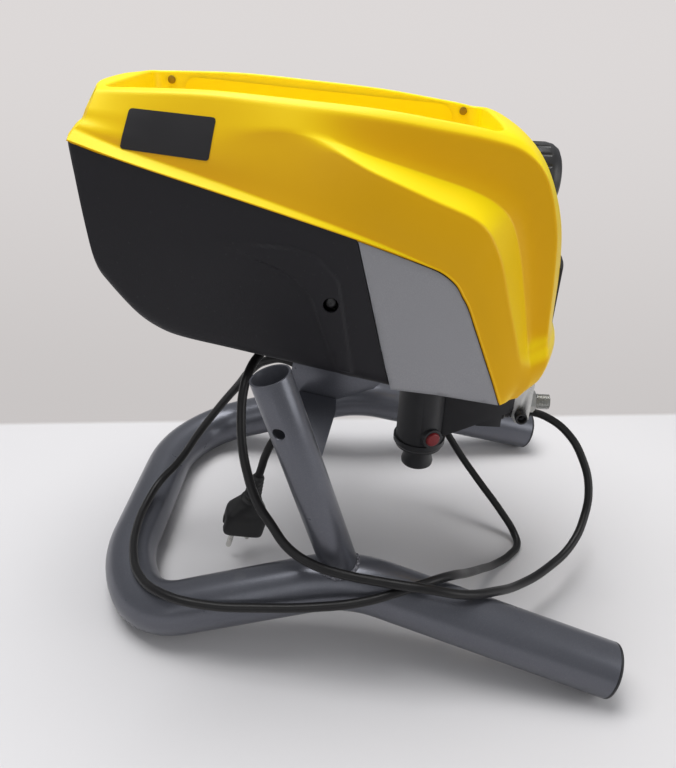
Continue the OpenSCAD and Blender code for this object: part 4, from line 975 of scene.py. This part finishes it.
def step_in(loop, inwards, height):
    """Extrudes a loop of the tray's wall inwards by some mm, to a height that the old one gives."""
    def place(p):
        way = tray_inward(p) * inwards
        return Vector((p.x + way.x, p.y + way.y, height(p.z)))
    return lowered(cover_mesh, loop, place)


# The mouth's edge is rounded over, and the wall drops to a round at the tray's floor
MOUTH_REAR, MOUTH_FRONT, MOUTH_HALF = -0.174, 0.092, 0.066
FLOOR_ROUND = 4.0
loop = open_edges(
    cover_mesh,
    lambda p: p.z > 0.36 and abs(p.y) < MOUTH_HALF and MOUTH_REAR < p.x < MOUTH_FRONT,
)
before = (0.0, 0.0)
for angle in map(math.radians, (22, 45, 68, 90)):
    now = (ROUND_OVER * math.sin(angle), ROUND_OVER * (1 - math.cos(angle)))
    down = now[1] - before[1]
    loop = step_in(loop, now[0] - before[0], lambda z: z - down)
    before = now
round_top = TRAY["floor"] + FLOOR_ROUND
loop = step_in(loop, 0.25, lambda z: round_top)
before = (0.0, 0.0)
for angle in map(math.radians, (22, 45, 68, 90)):
    now = (FLOOR_ROUND * (1 - math.cos(angle)), FLOOR_ROUND * math.sin(angle))
    loop = step_in(loop, now[0] - before[0], lambda z: round_top - now[1])
    before = now
bmesh.ops.contextual_create(cover_mesh, geom=loop)

# Knob pocket, sunk square into the nose
KNOB_HEIGHT, POCKET_RADIUS, POCKET_BACK = 342.5, 26.0, 110.0
pocket = []
for k in range(48):
    angle = k * math.tau / 48
    pocket.append(
        Vector((POCKET_RADIUS * math.cos(angle), KNOB_HEIGHT + POCKET_RADIUS * math.sin(angle)))
    )
score(cover_mesh, pocket, lambda p: (p.y, p.z), lambda p: (0, p[0], p[1]), lambda p: p.x > 92, 4.0)
near_pocket = [
    f for f in cover_mesh.faces
    if f.calc_center_median().x > 0.092 and 0.31 < f.calc_center_median().z < 0.375
]
slit(cover_mesh, near_pocket, (POCKET_BACK * MM, 0, 0), (1, 0, 0))
sunk = [
    f for f in cover_mesh.faces
    if f.calc_center_median().x > POCKET_BACK * MM
    and inside(pocket, (f.calc_center_median() / MM).yz)
]
bmesh.ops.delete(cover_mesh, geom=sunk, context="FACES")


def in_pocket(p):
    """Whether a point lies on the pocket's wall or inside it, seen from the front."""
    return (p.yz - Vector((0, KNOB_HEIGHT * MM))).length < (POCKET_RADIUS + 0.5) * MM


loop = open_edges(cover_mesh, lambda p: p.x > 0.1095 and in_pocket(p))
lowered(cover_mesh, loop, lambda p: Vector((POCKET_BACK, p.y, p.z)))
bmesh.ops.remove_doubles(cover_mesh, verts=cover_mesh.verts, dist=2e-6)
loop = open_edges(cover_mesh, lambda p: abs(p.x - POCKET_BACK * MM) < 1e-5 and in_pocket(p))
bmesh.ops.contextual_create(cover_mesh, geom=loop)
face_up(cover_mesh, max(cover_mesh.faces, key=lambda f: f.calc_center_median().z), Vector((0, 0, 1)))
cover_skin = BVHTree.FromBMesh(cover_mesh)
soften(cover_mesh, 38)
cover = new_piece("cover", cover_mesh)
walled(cover, WALL * MM)
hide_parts("top_cover")

sunny = Finish("yellow_moulding", specular=0.22)
sunny_cloud = sunny.noise(11.0, 3.0)
# Painted light and shade: faces that look up or forward get a lighter lemon yellow, faces that look
# sideways or down a darker orange
shade_painted_yellow = sunny.mixed((0.79, 0.42, 0.000), (0.84, 0.45, 0.001), sunny_cloud)
light_painted_yellow = sunny.mixed((0.95, 0.72, 0.002), (0.98, 0.76, 0.004), sunny_cloud)
upwards = sunny.node("ShaderNodeSeparateXYZ", None, {0: sunny.facing}, 2)
sideways = sunny.node("ShaderNodeSeparateXYZ", None, {0: sunny.place}, 1)
forwards = sunny.node("ShaderNodeSeparateXYZ", None, {0: sunny.facing}, 0)
along = sunny.node("ShaderNodeSeparateXYZ", None, {0: sunny.place}, 0)
above = sunny.node("ShaderNodeSeparateXYZ", None, {0: sunny.place}, 2)
# Painted light: the tray's walls get the lighter yellow of the faces that look up
TRAY_SIDE, TRAY_END, TRAY_FLOOR = (0.0605, 0.0635), (0.0885, 0.0905), (0.347, 0.349)
in_width = 1.0 - sideways.maths("ABSOLUTE", sideways).between(*TRAY_SIDE)
in_tray = in_width * (1.0 - along.between(*TRAY_END))
painted_light_share = upwards.between(0.15, 0.85) + forwards.between(0.3, 1.0) * 0.6
painted_light_share = painted_light_share + in_tray * above.between(*TRAY_FLOOR)
sunny.colour(sunny.mixed(shade_painted_yellow, light_painted_yellow, painted_light_share.clamped()))
sunny.roughness(sunny.noise(45.0, 4.0) * 0.10 + 0.36)
sunny.bump(sunny.noise(1900.0, 2.0), 0.10, 0.00025)
finished(cover, sunny)


# Tray walls: a rounded panel stands proud of each long wall, between two sunk screws with
# passivated heads. Cover and panels are one moulding.
def rim_edge(row):
    """Height of the tray's edge in one band of the cover, a share of the way up its crown."""
    return row[7] + EDGE_SHARE * row[15]


EDGE_SHARE = 0.785
PANEL_REAR, PANEL_FRONT, PANEL_LOW, PANEL_ROUND, PANEL_DROP = -146.0, 66.0, 356.0, 9.0, 4.7
panel_mesh = bmesh.new()
for side in (-1, 1):
    outline = []
    front, rear = PANEL_FRONT - PANEL_ROUND, PANEL_REAR + PANEL_ROUND
    for corner, (cx, upper) in enumerate(((front, 1), (rear, 1), (rear, 0), (front, 0))):
        for k in range(7):
            angle = math.pi / 2 * (corner + k / 6)
            x, z = cx + PANEL_ROUND * math.cos(angle), PANEL_ROUND * math.sin(angle)
            top = next(
                rim_edge(a) + (rim_edge(b) - rim_edge(a)) * (x - a[6]) / (b[6] - a[6])
                for a, b in zip(cover_lines[3:], cover_lines[4:]) if a[6] <= x <= b[6]
            ) - PANEL_DROP
            height = (top - PANEL_ROUND + z) if upper else (PANEL_LOW + PANEL_ROUND + z)
            outline.append(Vector((x, side * (TRAY["half"] - 0.1), height)) * MM)
    face = panel_mesh.faces.new([panel_mesh.verts.new(p) for p in outline])
    for rise, shrink in ((0.9, 0.15), (0.8, 0.5), (0.3, 0.9)):
        bmesh.ops.inset_region(
            panel_mesh, faces=[face], thickness=shrink * MM, depth=0, use_even_offset=True,
        )
        bmesh.ops.translate(panel_mesh, vec=(0, -side * rise * MM, 0), verts=face.verts)
outwards(panel_mesh)
soften(panel_mesh, 60)
panels_in_tray = new_piece("tray_wall_panels", panel_mesh)
finished(panels_in_tray, sunny)
tray_heads = refined("tray_screws", "tray_screw_heads", 0.0003)
passivated = Finish("yellow_passivated", metallic=0.7)
passivated.colour(passivated.mixed((0.24, 0.15, 0.02), (0.36, 0.24, 0.03), passivated.noise(600.0, 3.0)))
passivated.roughness(passivated.noise(300.0, 3.0) * 0.2 + 0.35)
finished(tray_heads, passivated)


# Badges: thin dark film on both flanks, left blank, with rounded corners. It is stuck down
# and follows the slight curve of the cover.
def gridded(mesh, axis, first, last, pitch):
    """Slices a sheet along planes that stand a pitch apart in mm."""
    for k in range(first, last):
        sliced(mesh, Vector(axis) * k * pitch * MM, axis, 1e-6)


def film(outline, place, name, lift=0.0001, thickness=0.0004):
    """A film pressed onto the cover's skin, cut to an outline in its own plane."""
    mesh = bmesh.new()
    mesh.faces.new([mesh.verts.new(Vector((p.x, p.y, 0))) for p in outline])
    for axis in ((1, 0, 0), (0, 1, 0)):
        gridded(mesh, axis, -40, 41, 1.5)
    ahead = -place.col[2].xyz
    for vert in mesh.verts:
        start = place @ vert.co
        hit = cover_skin.ray_cast(start - ahead * 0.01, ahead)[0]
        vert.co = (hit - ahead * lift) if hit else start
    mesh.normal_update()
    mesh.faces.ensure_lookup_table()
    face_up(mesh, mesh.faces[0], -ahead)
    soften(mesh, 40)
    made = new_piece(name, mesh)
    walled(made, thickness, 1)
    return made


badge_corners = [(-30, -10.1, 0), (-24.2, 15, 0), (30, 10.8, 0), (25.4, -15.6, 0)]
badge_start = (Vector(badge_corners[0]) + Vector(badge_corners[3])) / 2
badge_line = rounded([badge_start] + badge_corners + [badge_start], 2.4, 6)[:-1]
badge_film = Finish("blank_film", specular=0.35).mottled(
    (0.010, 0.009, 0.011), (0.017, 0.016, 0.018), cloud=(32.0, 5.0), rough=(0.2, 0.38),
    grain=(800.0, 2.0, 0.05, 0.0002),
)
BADGE_MIDDLE, BADGE_TURN, BADGE_SLOPE = Vector((-125, -78.3, 373.9)), 2.5, 65.5
badge_place = Matrix.Translation(BADGE_MIDDLE * MM)
badge_place = badge_place @ Matrix.Rotation(math.radians(BADGE_TURN), 4, "Z")
badge_place = badge_place @ Matrix.Rotation(math.radians(BADGE_SLOPE), 4, "X")
for side, side_name in SIDES:
    tilt = Matrix.Diagonal((1, -side, 1, 1)) @ badge_place
    badge = film([p * MM for p in badge_line], tilt, "badge_" + side_name)
    finished(badge, badge_film)
    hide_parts("name_plates")

# Front plate: a dark curved plate on the nose, left blank like the badges and made in the
# same finish. It is clipped into the cover.
finished(refined("front_plate", "nose_plate", 0.0008), badge_film)


# Side panels: silver-grey mouldings on both flanks, in front of the shells. Their upper edge
# follows the seam of the cover, and their rear edge leans with the shells' cut.
silver = Finish("silver_moulding", metallic=0.35, specular=0.5)
silver_cloud = silver.noise(8.0, 3.0)
silver_fleck = silver.noise(3000.0, 1.0).between(0.5, 0.7)
silver_base = silver.mixed((0.285, 0.285, 0.302), (0.325, 0.325, 0.342), silver_cloud)
silver.colour(silver.mixed(silver_base, (0.46, 0.46, 0.48), silver_fleck * 0.35))
silver.roughness(silver.noise(50.0, 3.0) * 0.10 + 0.38)
silver.bump(silver.noise(2400.0, 2.0), 0.12, 0.0002)
seam_line = [(row[0], row[1]) for row in cover_lines if row[0] > -2.0]
PANEL_HALF, PANEL_REACH, PANEL_BULGE, PANEL_GAP = 90.9, 0.085, 0.0008, 1.1
for side, side_name in SIDES:
    panel = bmesh.new()
    upper = [Vector(place) for place in seam_line]
    inwards = Vector((-0.35, -0.55)).normalized() * PANEL_GAP
    inner = [Vector((-5.2, 315.9))] + [p + inwards for p in upper]
    below = [Vector((58, 204.5)), Vector((26.4, 206.8))]
    panel.faces.new([
        panel.verts.new(Vector((p.x, side * PANEL_HALF, p.y)) * MM) for p in inner + below
    ])
    sliced(panel, PANEL_EDGE[0] * MM, edge_normal, inner=True)
    gridded(panel, (1, 0, 0), 0, 28, 4)
    gridded(panel, (0, 0, 1), 50, 82, 4)
    rim = {v for e in panel.edges if len(e.link_faces) == 1 for v in e.verts}
    centre = Vector((55, 255)) * MM
    for vert in panel.verts:
        far = (Vector((vert.co.x, vert.co.z)) - centre).length / PANEL_REACH
        vert.co.y += side * PANEL_BULGE * (1 - far * far) * (0 if vert in rim else 1)
    panel.faces.ensure_lookup_table()
    face_up(panel, panel.faces[0], Vector((0, side, 0)))
    for face in panel.faces:
        face.smooth = True
    piece = new_piece("side_panel_" + side_name, panel)
    walled(piece, 0.003)
    soft_edge = piece.modifiers.new("edge", "BEVEL")
    soft_edge.width = 0.0007
    soft_edge.segments = 3
    soft_edge.limit_method = "ANGLE"
    soft_edge.angle_limit = math.radians(50)
    finished(piece, silver)
    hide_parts(side_name + "_side_panel")

# Seam shade strips: a thin black strip sits behind the gap between each side panel and the cover,
# on both sides, as painted shade in the gap.
STRIP = ((-2.5, 87.6), (4, 87.6), (4, 86.8), (-2.5, 86.8))
before_seam, after_seam = seam_line[:1] + seam_line, seam_line[1:] + seam_line[-1:]
for side, side_name in SIDES:
    gap_shade = bmesh.new()
    rings = []
    for (x, z), before, after in zip(seam_line, before_seam, after_seam):
        run = Vector((after[0] - before[0], after[1] - before[1])).normalized()
        rings.append([
            gap_shade.verts.new(Vector((x + run.y * w, side * y, z - run.x * w)) * MM)
            for w, y in STRIP
        ])
    for a, b in zip(rings, rings[1:]):
        for k in range(4):
            gap_shade.faces.new((a[k - 1], a[k], b[k], b[k - 1]))
    gap_shade.faces.new(rings[0])
    gap_shade.faces.new(rings[-1])
    outwards(gap_shade)
    finished(new_piece("seam_shade_strip_" + side_name, gap_shade), moulded_black)


# Pressure knob: black moulding with deep finger grooves and a rounded face, pushed onto the
# control's spindle.
knob = refined("pressure_knob", "knob", 0.0007, 24)
knob_black = Finish("knob_moulding", specular=0.5)
knob_mottle = knob_black.noise(80.0, 5.0)
knob_black.colour(knob_black.mixed((0.012, 0.012, 0.013), (0.026, 0.026, 0.028), knob_mottle))
knob_black.roughness(knob_black.noise(40.0, 3.0) * 0.15 + 0.33)
knob_black.bump(knob_black.noise(1200.0, 2.0), 0.14, 0.0003)
finished(knob, knob_black, "knob")

# Belly cover: black moulding under the pump, with a ribbed shroud round the outlet pipe and
# a boss for the gland.
finished(refined("belly_cover", "belly", 0.0005), moulded_black)

# Inlet housing, suction connector and pusher: black mouldings on the pump cylinder's end,
# with a dark red button.
for node, name in (
    ("inlet_housing", "inlet_body"), ("suction_connector", "suction_socket"),
    ("return_port", "return_socket"),
):
    finished(refined(node, name, 0.0005), moulded_black)
signal_red = Finish("red_moulding", specular=0.5).mottled(
    (0.17, 0.008, 0.012), (0.26, 0.014, 0.018), cloud=(300.0, 5.0), rough=(0.2, 0.30),
)
finished(refined("pusher_button", "pusher_knob", 0.0005), signal_red, "pusher")
ground_steel = Finish("ground_steel", metallic=1.0)
turning = ground_steel.noise(900.0, 2.0, 0.5, ground_steel.stretched((0.15, 0.15, 3.0)))
ground_steel.colour(ground_steel.mixed((0.50, 0.50, 0.50), (0.66, 0.66, 0.66), turning))
ground_steel.roughness(turning * 0.15 + 0.2)
finished(refined("pump_cylinder", "pump_tube", 0.0005), ground_steel)

# Outlet: zinc-plated block, and a fitting with a hexagon and a quarter-inch pipe thread. The
# fitting is screwed into the block's front.
finished(refined("outlet_block", "outlet_body", 0.0006), zinc)
fitting_mesh = bmesh.new()
THREAD_PITCH, THREAD_RADIUS, THREAD_DEPTH = 1.34, 6.58, 0.8
THREAD_START, THREAD_END = 5.4, 17.0
BORE_SHARE = 0.45
NUT_RADIUS, NUT_HEIGHT, NUT_CROWN = 9.8, 4.6, 9.9
profile = []
for tooth in range(int((THREAD_END - 1) / THREAD_PITCH) + 3):
    start = (tooth - 1) * THREAD_PITCH
    profile += [
        (THREAD_RADIUS - THREAD_DEPTH, start), (THREAD_RADIUS, start + THREAD_PITCH * 0.42),
        (THREAD_RADIUS, start + THREAD_PITCH * 0.58),
    ]
line = [fitting_mesh.verts.new((r * MM, 0, z * MM)) for r, z in profile]
edges = [fitting_mesh.edges.new(pair) for pair in zip(line, line[1:])]
bmesh.ops.spin(
    fitting_mesh, geom=line + edges, cent=(0, 0, 0), axis=(0, 0, 1), dvec=(0, 0, THREAD_PITCH * MM / 48),
    angle=math.tau, steps=48, use_merge=False, use_normal_flip=False, use_duplicate=False,
)
bmesh.ops.remove_doubles(fitting_mesh, verts=fitting_mesh.verts, dist=2e-6)
for height, way in ((THREAD_START, -1), (THREAD_END, 1)):
    sliced(fitting_mesh, (0, 0, height * MM), (0, 0, way), outer=True)
rim = open_edges(fitting_mesh, lambda p: p.z > 16.9 * MM)
for share, height in ((BORE_SHARE, THREAD_END), (1, 6.0)):
    rim = lowered(fitting_mesh, rim, lambda p: Vector((p.x * share, p.y * share, height)))
rim = open_edges(fitting_mesh, lambda p: abs(p.z - THREAD_START * MM) < 1e-5)
for share, height in ((0.86, 5.2), (1, 4.4)):
    rim = lowered(fitting_mesh, rim, lambda p: Vector((p.x * share, p.y * share, height)))
outwards(fitting_mesh)
nut = bmesh.new()
bmesh.ops.create_cone(
    nut, cap_ends=True, segments=6, radius1=NUT_RADIUS * MM, radius2=NUT_RADIUS * MM,
    depth=NUT_HEIGHT * MM,
)
nut.transform(Matrix.Translation((0, 0, NUT_HEIGHT / 2 * MM)))
crown = bmesh.new()
turned(crown, [
    (0, -0.5), (8.6, -0.5), (NUT_CROWN, 0.9), (NUT_CROWN, 3.7), (8.6, NUT_HEIGHT), (0, NUT_HEIGHT),
])
nut_piece = new_piece("fitting_nut", nut)
cut(nut_piece, new_piece("nut_crown", crown), "INTERSECT")
applied(nut_piece)
fitting_mesh.from_mesh(nut_piece.data)
bpy.data.objects.remove(nut_piece)
FITTING_PLACE = Vector((152, 0, 153)) * MM
fitting_frame = frame_at(FITTING_PLACE, (1, 0, 0), (0, 0, 1))
bmesh.ops.transform(fitting_mesh, matrix=fitting_frame, verts=fitting_mesh.verts)
soften(fitting_mesh, 32)
fitting = new_piece("hose_thread", fitting_mesh)
finished(fitting, zinc)
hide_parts("hose_fitting")


# Inside: motor, gear, pump and control parts, which no side view shows. Each keeps the shape
# that it was built with, in the finish of its own metal or plastic.
inner_finishes = {}
for slot_name, low, high, rough, metal in (
    ("motor_steel", (0.20, 0.21, 0.23), (0.27, 0.28, 0.30), 0.42, 0.6),
    ("cast_alloy", (0.42, 0.43, 0.44), (0.56, 0.57, 0.58), 0.48, 0.9),
    ("lamination", (0.12, 0.11, 0.10), (0.22, 0.20, 0.18), 0.55, 0.8),
    ("copper_winding", (0.42, 0.16, 0.06), (0.62, 0.28, 0.12), 0.32, 0.9),
    ("copper", (0.60, 0.28, 0.14), (0.76, 0.40, 0.22), 0.24, 1.0),
    ("brass", (0.60, 0.43, 0.16), (0.74, 0.56, 0.26), 0.28, 1.0),
    ("bright_steel", (0.55, 0.56, 0.57), (0.72, 0.73, 0.74), 0.20, 1.0),
    ("gear_steel", (0.33, 0.34, 0.36), (0.48, 0.49, 0.51), 0.32, 1.0),
    ("packing", (0.72, 0.68, 0.58), (0.86, 0.83, 0.75), 0.60, 0.0),
    ("circuit_board", (0.02, 0.14, 0.05), (0.04, 0.24, 0.09), 0.34, 0.0),
    ("black_plastic", (0.013, 0.013, 0.015), (0.028, 0.028, 0.03), 0.42, 0.0),
    ("zinc", (0.46, 0.46, 0.44), (0.66, 0.66, 0.64), 0.26, 1.0),
    ("frame_paint", (0.10, 0.105, 0.125), (0.13, 0.135, 0.155), 0.40, 0.4),
    ("yellow_plastic", (0.80, 0.49, 0.005), (0.86, 0.55, 0.008), 0.40, 0.0),
    ("shell_plastic", (0.012, 0.012, 0.015), (0.02, 0.02, 0.024), 0.5, 0.0),
    ("dark_screw", (0.02, 0.02, 0.02), (0.05, 0.05, 0.05), 0.4, 0.7),
    ("silver_plastic", (0.20, 0.20, 0.22), (0.25, 0.25, 0.27), 0.42, 0.3),
    ("plate_film", (0.02, 0.02, 0.022), (0.03, 0.03, 0.033), 0.4, 0.0),
    ("red_plastic", (0.16, 0.006, 0.008), (0.24, 0.01, 0.012), 0.35, 0.0),
    ("knob_plastic", (0.012, 0.012, 0.013), (0.024, 0.024, 0.026), 0.42, 0.0),
    ("cord_rubber", (0.011, 0.011, 0.012), (0.028, 0.027, 0.027), 0.5, 0.0),
    ("plug_rubber", (0.012, 0.012, 0.013), (0.024, 0.024, 0.024), 0.46, 0.0),
):
    inner_finishes[slot_name] = Finish("inner_" + slot_name, metallic=metal).mottled(
        low, high, cloud=(240.0, 5.0), rough=(0.16, rough - 0.08),
        grain=(1200.0, 2.0, 0.15, 0.0003),
    )
slots = {part["node"]: part["material_slot"] for part in frame["record"]["subparts"]}
for name, node in frame["nodes"].items():
    node.data.materials.clear()
    node.data.materials.append(inner_finishes[slots[name]].material)

# Springs: steel wire, coiled cold. Each is squeezed between a fixed seat and the ball or
# button that moves.
for joint in frame["record"]["behaviour"]["joints"]:
    for squeezed in joint.get("deforming_nodes", []):
        spring_node = squeezed["node"]
        wire = refined(spring_node, spring_node + "_wire", 0)
        way = Vector(joint["axis"]).normalized()
        reach = [vert.co.dot(way) for vert in wire.data.vertices]
        finished(wire, inner_finishes[slots[spring_node]], None)
        way * max(reach)
        way * min(reach)
        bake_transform(wire)


# Studio: a pale table top that meets a pale wall, three soft boxes, and a pale sky. The wall
# is the far part of the same sheet; to the camera it glows in a painted tone, darker towards its top.
floor_mesh = bmesh.new()
bmesh.ops.create_grid(floor_mesh, x_segments=2, y_segments=2, size=300)
floor = new_piece("floor", floor_mesh)
pale = Finish("pale_table", specular=0.3)
table_x = pale.node("ShaderNodeSeparateXYZ", None, {0: pale.place}, 0)
table_y = pale.node("ShaderNodeSeparateXYZ", None, {0: pale.place}, 1)
# The wall's foot runs a little askew behind the sprayer
WALL_SKEW, WALL_FOOT = 0.1337, (0.199, 0.209)
behind = (table_y - table_x * WALL_SKEW).between(*WALL_FOOT)
pale.colour(pale.mixed((0.70, 0.69, 0.70), (0.66, 0.64, 0.635), behind))
pale.roughness(0.55)
seen = pale.node("ShaderNodeLightPath", None, None, "Is Camera Ray")
height_on_wall = CAMERA_PLACE[2] / (table_y - CAMERA_PLACE[1])
# Painted shade: the wall's glowing tone grows darker the higher it stands on the wall
wall_painted_shade = pale.mixed((0.72, 0.69, 0.685), (0.585, 0.56, 0.555), height_on_wall.between(0.0, 0.66))
wall_glow = pale.node("ShaderNodeEmission", None, {"Color": wall_painted_shade, "Strength": 1.0})
table_shader = Value(pale, pale.shader.outputs["BSDF"])
shown = pale.node("ShaderNodeMixShader", None, {0: behind * seen, 1: table_shader, 2: wall_glow})
pale.tree.links.new(shown.socket, pale.tree.nodes["Material Output"].inputs["Surface"])
floor.data.materials.append(pale.material)


def soft_box(name, place, aim, size, power):
    data = bpy.data.lights.new(name, "AREA")
    data.shape = "RECTANGLE"
    data.size, data.size_y = size
    data.energy = power
    made = bpy.data.objects.new(name, data)
    way = (Vector(aim) - Vector(place)).to_track_quat("-Z", "Y").to_matrix().to_4x4()
    made.matrix_world = Matrix.Translation(place) @ way
    bpy.context.scene.collection.objects.link(made)


soft_box("box_above", (-0.25, 0.25, 1.7), (0, 0.05, 0.2), (1.5, 1.1), 31)
soft_box("box_in_front", (-0.6, -1.6, 0.9), (0, 0, 0.25), (1.2, 0.8), 3)
soft_box("box_at_right", (1.3, -0.45, 0.6), (0.1, 0, 0.28), (0.8, 0.8), 5)
studio = bpy.data.worlds.new("studio")
studio.use_nodes = True
sky_nodes = studio.node_tree.nodes
sky_nodes["Background"].inputs["Color"].default_value = (0.86, 0.87, 0.90, 1)
sky_nodes["Background"].inputs["Strength"].default_value = 0.34
wall_sky = sky_nodes.new("ShaderNodeBackground")
wall_sky.inputs["Color"].default_value = (0.72, 0.69, 0.685, 1)
sky_ray = sky_nodes.new("ShaderNodeLightPath")
sky_mix = sky_nodes.new("ShaderNodeMixShader")
studio.node_tree.links.new(sky_ray.outputs["Is Camera Ray"], sky_mix.inputs[0])
studio.node_tree.links.new(sky_nodes["Background"].outputs[0], sky_mix.inputs[1])
studio.node_tree.links.new(wall_sky.outputs[0], sky_mix.inputs[2])
studio.node_tree.links.new(sky_mix.outputs[0], sky_nodes["World Output"].inputs["Surface"])
bpy.context.scene.world = studio
bpy.context.scene.view_settings.view_transform = "Standard"
